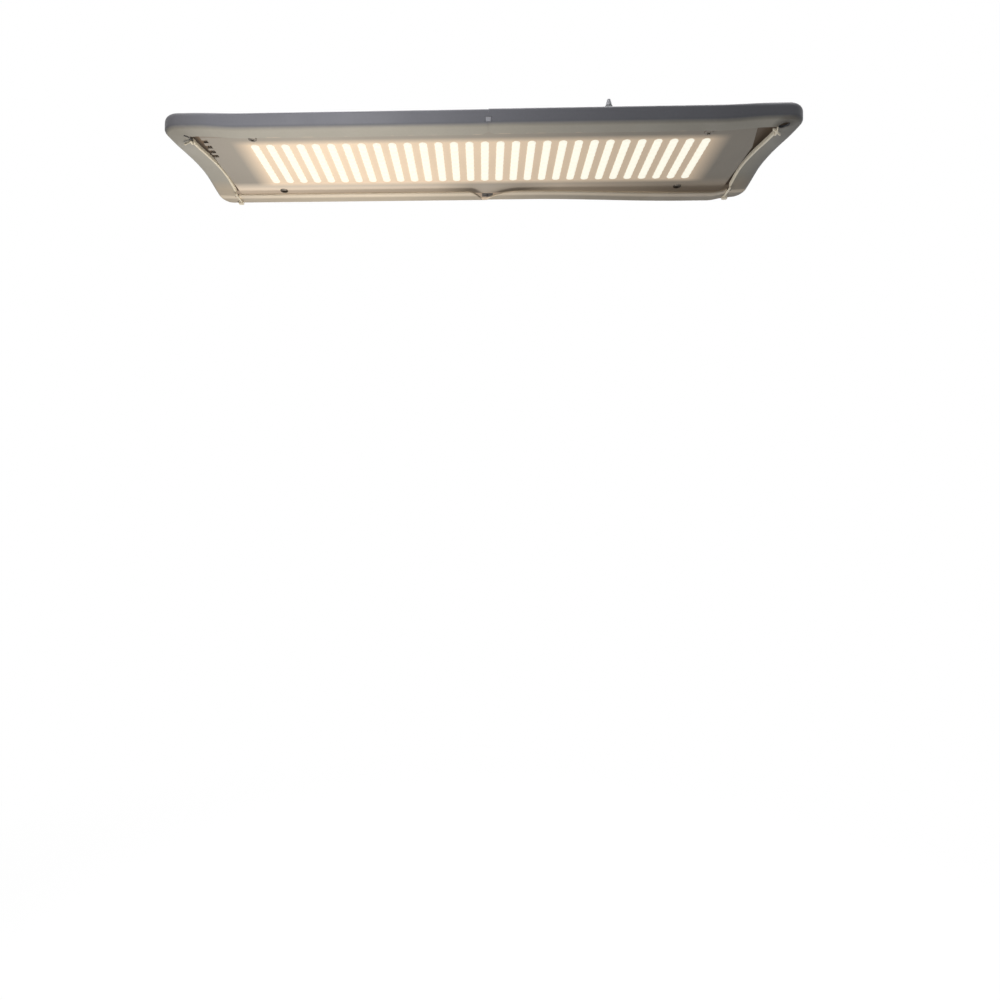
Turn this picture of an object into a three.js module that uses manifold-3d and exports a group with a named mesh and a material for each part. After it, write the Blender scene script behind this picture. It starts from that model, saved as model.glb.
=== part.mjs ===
import * as THREE from "three";
import { mergeVertices } from "three/addons/utils/BufferGeometryUtils.js";
import Module from "manifold-3d";

// LED grow light panel: a shallow two-part metal tray that hangs face down from two wire bails.
// Millimetres, +Z up. X runs along the panel, -Y is the front edge.
// z = 0 is the plane that the feet stand on.

const wasm = await Module();
wasm.setup();

// Tray
const trayLength = 392;
const trayWidth = 100;
const trayHeight = 10.5;
const footHeight = 2.5;
const sheet = 1.5;
const cornerRadius = 11;
const openingCornerRadius = 2;
const topEdgeRadius = 2;
const bottomEdgeRadius = 2.6;
const frontLipWidth = 11;
const rearLipWidth = 13.5;
const endLipWidthLeft = 18;
const endLipWidthRight = 16.7;
const endArch = 3.2;
const endTaper = 2.8;
const taperStart = 30;
const taperRun = 50;
const lipFlare = 4;
const endRise = 1.6;
const riseInset = 51;
const riseRun = 31;
const riseEndY = 15;
const riseFade = 28;
const flangeWidth = 12;
const flangeOverlap = 4;
const topCornerRadius = 3;
const reliefWidth = 1.6;
const reliefLength = 3;
const ovalWidth = 5;
const ovalLength = 6.5;
const ovalEndInset = 11;
const ovalFrontInset = 8.6;

// Seam between the tray's halves
const seamX = 7;
const seamGap = 0.3;
const seamStep = 0.3;
const notchDepth = 10.5;
const notchGapLeft = 4;
const notchRunLeft = 9;
const notchCurveShareLeft = 1.6;
const notchRunRight = 25;
const notchCurveShareRight = 2.4;
const frontNotchRun = 4;
const frontNotchDepth = 3;

// Edging on the end lips
const edgingWeb = 0.6;
const edgingLeg = 0.5;
const edgingGrip = 0.7;
const edgingPlay = 0.1;
const edgingInset = 17;
const footWidth = 3.2;
const footReach = 3;
const rearFootInset = 2.5;
const tailWidth = 1.3;
const tailHeight = 1.2;
const frontTailInset = 14;
const prongLength = 7.5;
const prongWidth = 0.9;
// Degrees from straight ahead, turned towards the board, and share of the longest prong
const prongShares = {
  left: [[-118, 0.85]],
  right: [
    [18, 0.75],
    [46, 0.7],
    [-133, 0.6],
  ],
};

// LED rows
const rowCount = 30;
const rowEndMargin = 32;
const rowSideMargin = 22;
const rowWidth = 5.2;
const ledsPerRow = 10;
const ledGap = 0.55;
const ledHeight = 0.8;
const ledBase = 0.25;
const ledRecess = 3;
const rowsShiftX = 0;
const rowsShiftY = 0.9;

// Board, pad and heat spreader
const boardEndGap = 19;
const boardSideGap = 5;
const boardThickness = 1.6;
const slotDepth = 3.6;
const slotWidth = 3.4;
const slotShares = [-0.32, -0.25, -0.185, -0.125];
const cutCornerRun = 25;
const cutCornerDepth = 6;
const cutCornerStart = 13;
const padEndInset = 12;
const padSideInset = 5;
const padThickness = 0.4;
const spreaderEndInset = 7;
const spreaderSideInset = 3;
const spreaderThickness = 1.5;
const wireBayLength = 42;
const wireBayDepth = 18;

// Board screws
const boardScrewEndInset = 33.5;
const boardScrewFrontInset = 13.5;
const boardScrewRearInset = 7;
const screwShank = 3;
const screwHead = 5.6;
const screwHeadHeight = 1.1;
const screwPlay = 0.3;
const bossDiameter = 7.5;
const skinOverHole = 0.5;

// Seam strap and clips
const strapLength = 24;
const strapEndInset = 7;
const strapThickness = 1.2;
const rivetShank = 3;
const rivetHead = 6;
const rivetHeadHeight = 0.8;
const rivetTail = 5;
const rivetTailHeight = 0.55;
const strapRivetInset = 13;
const strapRivetX = 7;
const clipWidth = 3.4;
const clipHeight = 3;
const clipPlate = 0.7;
const clipNeck = 2;
const clipBackWidth = 8;
const clipBackPlate = 0.8;
const clipRise = 1.8;

// Bails and their brackets
const bailInset = 28;
const bailWire = 3.2;
const bailTipGap = 4;
const bailLegGap = 3;
const bailTaper = 6;
const bailBend = 7;
const bailHookWidth = 12;
const bailHookDepth = 5;
const bracketWidth = 9;
const bracketSheet = 1.5;
const earEdgeInset = 21;
const earSheet = 2;
const pivotHeight = 4.8;
const pivotPlay = 0.3;
const bailRestGap = 0.3;
const bailEndPast = 1.2;
const bracketRivetInset = 9;

// Driver on the back
const driverGap = 2;
const driverY = 10;
const driverLength = 80;
const driverWidth = 44;
const driverHeight = 14;
const driverWall = 1.6;
const driverFloor = 1.5;
const driverCorner = 4;
const coverThickness = 2;
const coverLip = 1.5;
const fitPlay = 0.3;
const earLength = 8;
const earWidth = 14;
const earThickness = 2.5;
const postHeight = 3;
const postSize = 4;
const circuitThickness = 1.6;
const circuitGap = 1;
// Along, across, length, width and height of each box on the circuit
const circuitBoxShares = [
  [-0.02, 0.05, 0.24, 0.62, 0.95],
  [-0.34, 0.22, 0.14, 0.26, 0.7],
  [0.3, -0.26, 0.12, 0.2, 0.6],
  [0.42, 0.2, 0.06, 0.4, 0.5],
];
// Along, across, diameter and height of each can
const circuitCanShares = [
  [-0.34, -0.22, 0.3, 0.9],
  [-0.22, -0.28, 0.22, 0.8],
  [0.22, 0.2, 0.3, 0.9],
  [0.32, 0.14, 0.22, 0.75],
];

// Inlet, grommet, leads and connector
const glandOffset = 11.8;
const glandInset = 12;
const glandFlat = 10;
const glandFlangeHeight = 3;
const glandDomeHeight = 3.4;
const glandDomeBase = 8.4;
const glandDomeTop = 4.6;
const glandShoulderShare = 0.2;
const glandShank = 6;
const glandBore = 3.4;
const nutFlat = 9;
const nutThickness = 1.8;
const sleeveLength = 4.4;
const sleeveBase = 4;
const sleeveTip = 2;
const sleeveBore = 1.4;
const sleeveSeat = 3;
const grommetBore = 6;
const grommetWall = 1;
const grommetFlange = 11;
const grommetFlangeHeight = 0.8;
const grommetY = 2;
const leadDiameter = 1.3;
const leadSpacing = 2.2;
const connectorLength = 8;
const connectorWidth = 6;
const connectorHeight = 3;
const connectorOffset = 14.5;
const connectorInset = 16;

// Round sides and run-outs
const roundSides = 20;
const smallSides = 10;
const hexSides = 6;
const cornerSteps = 9;
const edgeSteps = 4;
const plateSteps = 4;
const endSteps = 16;
const riseSteps = 6;
const notchSteps = 8;
const bailSteps = 62;
const bailSides = 8;
const leadSteps = 28;
const leadSides = 6;
const cutPast = 1;
const weldDistance = 0.0001;

// Places worked out from the sizes above
const halfLength = trayLength / 2;
const halfWidth = trayWidth / 2;
const boardLength = trayLength - 2 * boardEndGap;
const boardWidth = trayWidth - 2 * boardSideGap;
const padLength = boardLength - 2 * padEndInset;
const padWidth = boardWidth - 2 * padSideInset;
const spreaderLength = boardLength - 2 * spreaderEndInset;
const spreaderWidth = boardWidth - 2 * spreaderSideInset;
const rowPitch = (boardLength - 2 * rowEndMargin) / (rowCount - 1);
const ledPitch = (boardWidth - 2 * rowSideMargin) / (ledsPerRow - 1);
const ledLength = ledPitch - ledGap;
const boardScrewX = boardLength / 2 - boardScrewEndInset;
const boardScrewFrontY = -boardWidth / 2 + boardScrewFrontInset;
const boardScrewRearY = boardWidth / 2 - boardScrewRearInset;
const strapWidth = trayWidth - 2 * strapEndInset;
const strapRivetY = strapWidth / 2 - strapRivetInset;
const edgingY = halfWidth - edgingInset;
const riseStart = halfLength - riseInset;
const driverX = seamX + strapLength / 2 + driverGap + earLength + driverLength / 2;
const glandX = driverX + glandOffset;
const glandY = -halfWidth + glandInset;
const connectorX = glandX + connectorOffset;
const connectorY = -halfWidth + connectorInset;
const earSpan = trayWidth - 2 * earEdgeInset;
const bracketRivetY = earSpan / 2 - bracketRivetInset;
const bailX = halfLength - bailInset;
const bailSpan = earSpan - 2 * bailLegGap;
const bailTopSpan = bailSpan - 2 * bailTaper;
const bailReach = bailX - driverX - driverLength / 2 - earLength - bailTipGap - bailHookDepth;

// Levels worked out from the sizes above
const lipZ = footHeight;
const ledZ = footHeight + ledRecess;
const boardZ = ledZ + ledHeight;
const padZ = boardZ + boardThickness;
const spreaderZ = padZ + padThickness;
const spreaderTop = spreaderZ + spreaderThickness;
const sides = { left: -1, right: 1 };
const lowerBy = { left: seamStep, right: 0 };
const lipLevel = (half) => lipZ - lowerBy[half];
const topLevel = (half) => lipZ + trayHeight - lowerBy[half];

// Colours and finishes
const finish = {
  tray: [0x7c7e86, 0.55, 0.1],
  edging: [0xd8cbb2, 0.5, 0],
  led: [0xfff6da, 0.4, 0],
  board: [0xa89f92, 0.6, 0],
  pad: [0x9aa0a8, 0.9, 0],
  aluminium: [0xb4b6b8, 0.4, 1],
  steel: [0xa9abad, 0.35, 1],
  clip: [0xaeb0b6, 0.5, 0],
  driver: [0x33353a, 0.6, 0],
  circuit: [0x2f6b45, 0.6, 0],
  rubber: [0x2a2b2d, 0.8, 0],
  nylon: [0x4a4c50, 0.55, 0],
  sleeve: [0xb8babd, 0.6, 0],
  connector: [0xe8e4d8, 0.5, 0],
};

// Solids
function solid(geometry) {
  const bare = geometry.index ? geometry.toNonIndexed() : geometry.clone();
  bare.deleteAttribute("normal");
  bare.deleteAttribute("uv");
  const merged = mergeVertices(bare, weldDistance);
  const body = new wasm.Mesh({
    numProp: 3,
    vertProperties: merged.attributes.position.array,
    triVerts: new Uint32Array(merged.index.array),
  });
  return new wasm.Manifold(body);
}

function geometryOf(body) {
  const mesh = body.getMesh();
  const geometry = new THREE.BufferGeometry();
  geometry.setAttribute("position", new THREE.BufferAttribute(mesh.vertProperties, 3));
  geometry.setIndex(new THREE.BufferAttribute(mesh.triVerts, 1));
  const flat = geometry.toNonIndexed();
  flat.computeVertexNormals();
  return flat;
}

function join(...bodies) {
  return bodies.reduce((all, one) => all.add(one));
}

function cut(body, ...tools) {
  return tools.reduce((left, tool) => left.subtract(tool), body);
}

function block(x0, x1, y0, y1, z0, z1) {
  const box = new THREE.BoxGeometry(x1 - x0, y1 - y0, z1 - z0);
  return solid(box.translate((x0 + x1) / 2, (y0 + y1) / 2, (z0 + z1) / 2));
}

function post(diameter, x, y, z0, z1, count = smallSides) {
  const rod = new THREE.CylinderGeometry(diameter / 2, diameter / 2, z1 - z0, count);
  return solid(rod.rotateX(Math.PI / 2).translate(x, y, (z0 + z1) / 2));
}

function plate(shape, z0, z1) {
  const options = { depth: z1 - z0, bevelEnabled: false, curveSegments: plateSteps };
  const slab = new THREE.ExtrudeGeometry(shape, options);
  return solid(slab.translate(0, 0, z0));
}

function turned(profile, x, y, z, count = roundSides) {
  const points = profile.map(([radius, height]) => new THREE.Vector2(radius, height));
  const ring = new THREE.LatheGeometry(points, count);
  return solid(ring.rotateX(Math.PI / 2).translate(x, y, z));
}

function outline(points) {
  return new THREE.Shape(points.map(([x, y]) => new THREE.Vector2(x, y)));
}

function roundedOutline(length, width, radius) {
  const x = length / 2 - radius;
  const y = width / 2 - radius;
  const shape = new THREE.Shape();
  shape.absarc(x, -y, radius, -Math.PI / 2, 0);
  shape.absarc(x, y, radius, 0, Math.PI / 2);
  shape.absarc(-x, y, radius, Math.PI / 2, Math.PI);
  shape.absarc(-x, -y, radius, Math.PI, Math.PI * 1.5);
  return shape;
}

// A closed solid through a list of sections, each a loop of as many points.
function loft(sections, firstLoop, lastLoop) {
  const count = sections[0].length;
  const positions = sections.flat().flatMap((point) => [point.x, point.y, point.z]);
  const faces = [];
  for (let i = 0; i < sections.length - 1; i += 1) {
    for (let j = 0; j < count; j += 1) {
      const a = i * count + j;
      const b = i * count + ((j + 1) % count);
      faces.push([a, b, b + count], [a, b + count, a + count]);
    }
  }
  const last = (sections.length - 1) * count;
  const [firstLid, lastLid] = [firstLoop, lastLoop].map((loop) =>
    THREE.ShapeUtils.triangulateShape(loop.map(([u, v]) => new THREE.Vector2(u, v)), []),
  );
  faces.push(...firstLid.map(([a, b, c]) => [a, c, b]));
  faces.push(...lastLid.map(([a, b, c]) => [a + last, b + last, c + last]));
  const geometry = new THREE.BufferGeometry();
  geometry.setAttribute("position", new THREE.Float32BufferAttribute(positions, 3));
  geometry.setIndex(faces.flat());
  const body = solid(geometry);
  if (body.volume() > 0) {
    return body;
  }
  geometry.setIndex(faces.flatMap(([a, b, c]) => [a, c, b]));
  return solid(geometry);
}

// Tray halves
function clamped(share) {
  return Math.min(1, Math.max(0, share));
}

function ramp(share) {
  const t = clamped(share);
  return t * t * (3 - 2 * t);
}

function arch(y) {
  return endArch * (1 + Math.cos((Math.PI * y) / halfWidth)) / 2;
}

// How far the rim rises towards the ends, except at the rear corners.
function sweep(x, y) {
  return endRise * ramp((x - riseStart) / riseRun) * (1 - ramp((y - riseEndY) / riseFade));
}

// How far an end comes in towards the rear.
function taper(y) {
  return endTaper * ramp((y + taperStart) / taperRun);
}

function lipEdgeX(half, y) {
  const lip = half === "left" ? endLipWidthLeft : endLipWidthRight;
  return halfLength - lip + lipFlare * (1 - taper(y) / endTaper);
}

function rearLip(half, fromSeam) {
  const gap = half === "left" ? notchGapLeft : 0;
  const run = half === "left" ? notchRunLeft : notchRunRight;
  const curve = half === "left" ? notchCurveShareLeft : notchCurveShareRight;
  return rearLipWidth - notchDepth * (1 - clamped((fromSeam - gap) / run)) ** curve;
}

// A place on the path round one half: outer point, way inwards, and the inner edges of lip and flange.
function station(x, y, inX, inY, lipEdge, flangeEdge) {
  const lift = sweep(x, y);
  return { x: x + inX * taper(y), y, inX, inY, lipEdge, flangeEdge, lift, rise: lift + arch(y) };
}

function sideStation(x, side, lip) {
  const y = side * halfWidth;
  return station(x, y, 0, -side, [x, y - side * lip], [x, y - side * flangeWidth]);
}

function cornerStations(half, side, lip) {
  const inner = openingCornerRadius;
  const lipY = side * (halfWidth - lip - inner);
  const flangeY = side * (halfWidth - flangeWidth - inner);
  const centre = [halfLength - cornerRadius, side * (halfWidth - cornerRadius)];
  const lipCentre = [lipEdgeX(half, lipY) - inner, lipY];
  const flangeCentre = [halfLength - taper(flangeY) - flangeWidth - inner, flangeY];
  const stops = [];
  for (let i = 0; i <= cornerSteps; i += 1) {
    const share = i / cornerSteps;
    const angle = (Math.PI / 2) * (side < 0 ? share - 1 : share);
    const way = [Math.cos(angle), Math.sin(angle)];
    const at = (middle, reach) => middle.map((value, axis) => value + reach * way[axis]);
    const outer = at(centre, cornerRadius);
    stops.push(station(...outer, -way[0], -way[1], at(lipCentre, inner), at(flangeCentre, inner)));
  }
  return stops;
}

function endStation(half, y) {
  const flangeX = halfLength - taper(y) - flangeWidth;
  return station(halfLength, y, -1, 0, [lipEdgeX(half, y), y], [flangeX, y]);
}

function evenly(start, run, steps) {
  return Array.from({ length: steps + 1 }, (_, i) => start + (run * i) / steps);
}

function edgingPlaces() {
  return evenly(-edgingY, edgingY + edgingY, endSteps);
}

function trayPath(half, seamFace) {
  const gap = half === "left" ? notchGapLeft : 0;
  const run = half === "left" ? notchRunLeft : notchRunRight;
  const risePlaces = evenly(riseStart, riseRun, riseSteps);
  const notchPlaces = evenly(gap, run, notchSteps);
  const stops = [
    sideStation(seamFace, -1, frontLipWidth - frontNotchDepth),
    sideStation(seamFace + frontNotchRun, -1, frontLipWidth),
    ...risePlaces.map((x) => sideStation(x, -1, frontLipWidth)),
    ...cornerStations(half, -1, frontLipWidth),
    ...edgingPlaces().map((y) => endStation(half, y)),
    ...cornerStations(half, 1, rearLipWidth),
    ...notchPlaces.reverse().map((place) => sideStation(seamFace + place, 1, rearLip(half, place))),
  ];
  if (gap > 0) {
    stops.push(sideStation(seamFace, 1, rearLip(half, 0)));
  }
  return stops;
}

function bend(centreD, centreZ, radius, from, to) {
  const points = [];
  for (let i = 0; i <= edgeSteps; i += 1) {
    const angle = from + ((to - from) * i) / edgeSteps;
    points.push([centreD + radius * Math.cos(angle), centreZ + radius * Math.sin(angle)]);
  }
  return points;
}

// Flange, wall and lip at one station, round the outside and back along the inside.
function traySection(stop, bottom, top) {
  const under = bottom + stop.rise;
  const low = under + bottomEdgeRadius;
  const high = top + stop.lift - topEdgeRadius;
  const wall = ([depth, z]) =>
    new THREE.Vector3(stop.x + stop.inX * depth, stop.y + stop.inY * depth, z);
  return [
    new THREE.Vector3(...stop.flangeEdge, top),
    ...bend(topEdgeRadius, high, topEdgeRadius, Math.PI / 2, Math.PI).map(wall),
    ...bend(bottomEdgeRadius, low, bottomEdgeRadius, Math.PI, Math.PI * 1.5).map(wall),
    new THREE.Vector3(...stop.lipEdge, under),
    new THREE.Vector3(...stop.lipEdge, under + sheet),
    ...bend(bottomEdgeRadius, low, bottomEdgeRadius - sheet, Math.PI * 1.5, Math.PI).map(wall),
    ...bend(topEdgeRadius, high, topEdgeRadius - sheet, Math.PI, Math.PI / 2).map(wall),
    new THREE.Vector3(...stop.flangeEdge, top - sheet),
  ];
}

function trayRim(half, seamFace, bottom, top) {
  const sections = trayPath(half, seamFace).map((stop) => traySection(stop, bottom, top));
  const firstLoop = sections[0].map((point) => [point.y, point.z]);
  const lastLoop = sections.at(-1).map((point) => [-point.y, point.z]);
  return loft(sections, firstLoop, lastLoop);
}

function trayTop(seamFace, top) {
  const inset = flangeWidth - flangeOverlap;
  const x = halfLength - inset - topCornerRadius;
  const y = halfWidth - inset - topCornerRadius;
  const shape = new THREE.Shape();
  shape.moveTo(seamFace, -y - topCornerRadius);
  shape.lineTo(x, -y - topCornerRadius);
  shape.absarc(x, -y, topCornerRadius, -Math.PI / 2, 0);
  shape.absarc(x, y, topCornerRadius, 0, Math.PI / 2);
  shape.lineTo(seamFace, y + topCornerRadius);
  return plate(shape, top - sheet, top);
}

const cutHeight = sheet + endArch + endRise + cutPast + cutPast;

// A slot in the lip along a corner's diagonal, drawn at the origin.
function diagonalSlot(side, length, width, bottom) {
  const reach = (length - width) / 2;
  const z = bottom - cutPast;
  return join(
    block(-reach, reach, -width / 2, width / 2, z, z + cutHeight),
    post(width, -reach, 0, z, z + cutHeight),
    post(width, reach, 0, z, z + cutHeight),
  ).rotate([0, 0, side * THREE.MathUtils.radToDeg(Math.PI / 4)]);
}

// The cut that frees the lip's inner corner.
function cornerRelief(half, side, bottom) {
  const y = side * (halfWidth - (side < 0 ? frontLipWidth : rearLipWidth));
  const slot = diagonalSlot(side, reliefLength + reliefLength, reliefWidth, bottom);
  return slot.translate([lipEdgeX(half, y), y, 0]);
}

// The long hole in the lip at the right front corner.
function ovalHole(bottom) {
  const x = halfLength - ovalEndInset;
  const y = -halfWidth + ovalFrontInset;
  return diagonalSlot(-1, ovalLength, ovalWidth, bottom).translate([x, y, 0]);
}

const inOrder = (a, b) => [Math.min(a, b), Math.max(a, b)];

// Pocket and hole for a seam clip in the front or rear wall.
function clipSeat(wallSide, seamAt) {
  const outer = wallSide * (halfWidth + cutPast);
  const pocket = wallSide * (halfWidth - clipPlate - edgingPlay);
  const inner = wallSide * (halfWidth - sheet - cutPast);
  const z = lipZ + clipRise;
  const middle = z + clipHeight / 2;
  const halfPocket = clipWidth / 2 + edgingPlay;
  const halfHole = clipNeck / 2 + edgingPlay;
  const pocketY = inOrder(outer, pocket);
  const holeY = inOrder(outer, inner);
  return [
    block(seamAt - halfPocket, seamAt + halfPocket, ...pocketY, z - edgingPlay, z + clipHeight + edgingPlay),
    block(seamAt - halfHole, seamAt + halfHole, ...holeY, middle - halfHole, middle + halfHole),
  ];
}

const boardScrewPlaces = [
  ["front_left", "left", rowsShiftX - boardScrewX, boardScrewFrontY],
  ["front_right", "right", rowsShiftX + boardScrewX, boardScrewFrontY],
  ["rear_left", "left", rowsShiftX - boardScrewX, boardScrewRearY],
  ["rear_right", "right", rowsShiftX + boardScrewX, boardScrewRearY],
];
const driverScrewOffset = driverLength / 2 + earLength / 2;
const screwTop = (half) => topLevel(half) - skinOverHole - screwPlay;

function trayHalf(half) {
  const side = sides[half];
  const bottom = lipLevel(half);
  const top = topLevel(half);
  const seamFace = side * seamX + seamGap / 2;
  let body = join(trayRim(half, seamFace, bottom, top), trayTop(seamFace, top));
  const ownScrews = boardScrewPlaces.filter((place) => place[1] === half);
  for (const [, , x, y] of ownScrews) {
    body = body.add(post(bossDiameter, side * x, y, spreaderTop, top - sheet / 2));
  }
  const hole = rivetShank + screwPlay;
  const through = [top - sheet - cutPast, top + cutPast];
  body = cut(
    body,
    ...ownScrews.map(([, , x, y]) =>
      post(screwShank + screwPlay, side * x, y, spreaderTop - cutPast, top - skinOverHole),
    ),
    ...[-1, 1].map((end) => post(hole, side * seamX + strapRivetX, end * strapRivetY, ...through)),
    ...[-1, 1].map((end) => post(hole, bailX, end * bracketRivetY, ...through)),
    half === "left" ? cornerRelief(half, -1, bottom) : ovalHole(bottom),
    cornerRelief(half, 1, bottom),
    ...[-1, 1].flatMap((wallSide) => clipSeat(wallSide, side * seamX)),
  );
  if (half === "right") {
    body = cut(
      body,
      post(glandShank + screwPlay, glandX, glandY, ...through, roundSides),
      post(grommetBore + grommetWall + grommetWall + screwPlay, driverX, grommetY, ...through, roundSides),
      ...[-1, 1].map((end) => post(hole, driverX + end * driverScrewOffset, driverY, ...through)),
    );
  }
  return side < 0 ? body.mirror([1, 0, 0]) : body;
}

// Edging on an end lip: a channel over the lip's edge, with prongs at the front and a foot at the rear.
function edging(half) {
  const side = sides[half];
  const bottom = lipLevel(half);
  const rise = (y) => bottom + sweep(halfLength, y) + arch(y);
  const slotFloor = -edgingPlay;
  const web = slotFloor - edgingWeb;
  const loop = [
    [web, -edgingLeg],
    [edgingGrip, -edgingLeg],
    [edgingGrip, -edgingPlay],
    [slotFloor, -edgingPlay],
    [slotFloor, sheet + edgingPlay],
    [edgingGrip, sheet + edgingPlay],
    [edgingGrip, sheet + edgingLeg],
    [web, sheet + edgingLeg],
  ];
  const sections = edgingPlaces().map((y) =>
    loop.map(([x, z]) => new THREE.Vector3(lipEdgeX(half, y) + x, y, rise(y) + z)),
  );
  const frontTop = bottom + endRise - edgingPlay;
  const rearTop = bottom - edgingPlay;
  const frontEnd = -halfWidth + frontTailInset;
  const rearEnd = halfWidth - rearFootInset;
  const frontX = lipEdgeX(half, -edgingY) + web;
  const rearX = lipEdgeX(half, edgingY) + web;
  const tail = (x, y0, y1, top) => block(x, x + tailWidth, y0, y1, top - tailHeight, top);
  const neck = (x, y0, y1, low) => {
    const level = Math.min(rise(y0), rise(y1)) - edgingPlay;
    return block(x, x + edgingWeb, y0, y1, low - tailHeight / 2, level);
  };
  const parts = [
    loft(sections, loop, loop),
    tail(frontX, frontEnd, -edgingY + cutPast, frontTop),
    tail(rearX, edgingY - cutPast, rearEnd, rearTop),
    neck(frontX, -edgingY, -edgingY + cutPast, frontTop),
    neck(rearX, edgingY - cutPast, edgingY, rearTop),
    block(rearX - footWidth / 4, rearX + footWidth, rearEnd - footReach, rearEnd, 0, rearTop),
  ];
  for (const [turn, share] of prongShares[half]) {
    const reach = prongLength * share;
    const arm = new THREE.BoxGeometry(prongWidth, reach, tailHeight);
    arm.translate(0, -reach / 2, frontTop - tailHeight / 2);
    arm.rotateZ(THREE.MathUtils.degToRad(-turn));
    arm.translate(frontX + tailWidth / 2, frontEnd + prongWidth, 0);
    parts.push(solid(arm));
  }
  const body = join(...parts);
  return side < 0 ? body.mirror([1, 0, 0]) : body;
}

// LED rows: ten packages on one carrier strip, side profile drawn along the row.
function ledRow() {
  const span = (ledsPerRow - 1) * ledPitch;
  const points = [[-span / 2 - ledLength / 2, 0]];
  for (let i = 0; i < ledsPerRow; i += 1) {
    const centre = -span / 2 + i * ledPitch;
    const start = centre - ledLength / 2;
    if (i > 0) {
      points.push([start, -ledBase]);
    }
    points.push([start, -ledHeight], [start + ledLength, -ledHeight]);
    if (i < ledsPerRow - 1) {
      points.push([start + ledLength, -ledBase]);
    }
  }
  points.push([span / 2 + ledLength / 2, 0]);
  const strip = new THREE.ExtrudeGeometry(outline(points), { depth: rowWidth, bevelEnabled: false });
  strip.translate(0, 0, -rowWidth / 2);
  strip.rotateX(Math.PI / 2);
  strip.rotateZ(Math.PI / 2);
  return strip;
}

// Board
function boardOutline() {
  const x = boardLength / 2;
  const y = boardWidth / 2;
  const left = slotShares.flatMap((share) => {
    const low = share * boardWidth - slotWidth / 2;
    const high = share * boardWidth + slotWidth / 2;
    return [
      [-x, low],
      [-x + slotDepth, low],
      [-x + slotDepth, high],
      [-x, high],
    ];
  });
  return outline([
    [-x, -y],
    [x - cutCornerDepth, -y],
    [x - cutCornerDepth, -cutCornerStart - cutCornerRun],
    [x, -cutCornerStart],
    [x, y],
    [-x, y],
    ...left.reverse(),
  ]);
}

function screwHoles(z0, z1) {
  return boardScrewPlaces.map(([, , x, y]) => post(screwShank + screwPlay, x, y, z0 - cutPast, z1 + cutPast));
}

function board() {
  return cut(plate(boardOutline(), boardZ, padZ), ...screwHoles(boardZ, padZ));
}

const bayEdgeY = -spreaderWidth / 2 + wireBayDepth;

function wireBay(z0, z1) {
  const x = (glandX + connectorX) / 2;
  const y = -boardWidth / 2 - cutPast;
  return block(x - wireBayLength / 2, x + wireBayLength / 2, y, bayEdgeY, z0 - cutPast, z1 + cutPast);
}

function layer(length, width, z0, z1) {
  const x = length / 2;
  const y = width / 2;
  return cut(block(-x, x, -y, y, z0, z1), wireBay(z0, z1), ...screwHoles(z0, z1));
}

function boardScrew(half, x, y) {
  return join(
    turned(
      [
        [0, -screwHeadHeight],
        [screwHead / 3, -screwHeadHeight],
        [screwHead / 2, -screwHeadHeight / 3],
        [screwHead / 2, 0],
        [0, 0],
      ],
      x,
      y,
      boardZ,
      smallSides,
    ),
    post(screwShank, x, y, boardZ - screwHeadHeight / 2, screwTop(half)),
  );
}

// A rivet that ties a strap on the top to the tray under it.
function rivet(x, y, seat, strapTop) {
  const under = seat - sheet;
  return [
    post(rivetShank, x, y, under - rivetTailHeight, strapTop),
    post(rivetTail, x, y, under - rivetTailHeight, under),
    turned(
      [
        [0, -strapThickness / 2],
        [rivetHead / 2, -strapThickness / 2],
        [rivetHead / 2, 0],
        [rivetHead / 3, rivetHeadHeight],
        [0, rivetHeadHeight],
      ],
      x,
      y,
      strapTop,
      smallSides,
    ),
  ];
}

function seamStrap() {
  const top = topLevel("right") + strapThickness;
  const x = strapLength / 2;
  const y = strapWidth / 2;
  const rivets = Object.keys(sides).flatMap((half) => {
    const rivetX = seamX + sides[half] * strapRivetX;
    return [-1, 1].flatMap((end) => rivet(rivetX, end * strapRivetY, topLevel(half), top));
  });
  return join(
    block(seamX - x, seamX + x, -y, y, topLevel("right"), top),
    block(seamX - x, seamX - seamGap / 2, -y, y, topLevel("left"), top),
    ...rivets,
  );
}

function seamClip(wallSide) {
  const z = lipZ + clipRise;
  const middle = z + clipHeight / 2;
  const outer = wallSide * halfWidth;
  const plateIn = wallSide * (halfWidth - clipPlate);
  const inner = wallSide * (halfWidth - sheet - edgingPlay);
  const back = wallSide * (halfWidth - sheet - edgingPlay - clipBackPlate);
  const across = (width) => [seamX - width / 2, seamX + width / 2];
  const neckLow = middle - clipNeck / 2;
  return join(
    block(...across(clipWidth), ...inOrder(outer, plateIn), z, z + clipHeight),
    block(...across(clipNeck), ...inOrder(outer, back), neckLow, middle + clipNeck / 2),
    block(...across(clipBackWidth), ...inOrder(inner, back), neckLow, z + clipHeight),
  );
}

// Bail brackets and bails
function bracket(half) {
  const side = sides[half];
  const seat = topLevel(half);
  const x = side * bailX;
  const halfWide = bracketWidth / 2;
  const outerY = earSpan / 2 + earSheet;
  const pivotZ = seat + pivotHeight;
  let body = block(x - halfWide, x + halfWide, -outerY, outerY, seat, seat + bracketSheet);
  for (const end of [-1, 1]) {
    const y = end * (earSpan / 2 + earSheet / 2);
    const cheek = new THREE.CylinderGeometry(halfWide, halfWide, earSheet, roundSides);
    cheek.translate(x, y, pivotZ);
    const stem = block(x - halfWide, x + halfWide, y - earSheet / 2, y + earSheet / 2, seat, pivotZ);
    body = join(body, stem, solid(cheek), ...rivet(x, end * bracketRivetY, seat, seat + bracketSheet));
  }
  const bore = (bailWire + pivotPlay + pivotPlay) / 2;
  const drill = new THREE.CylinderGeometry(bore, bore, trayWidth, roundSides);
  return body.subtract(solid(drill.translate(x, 0, pivotZ)));
}

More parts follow.
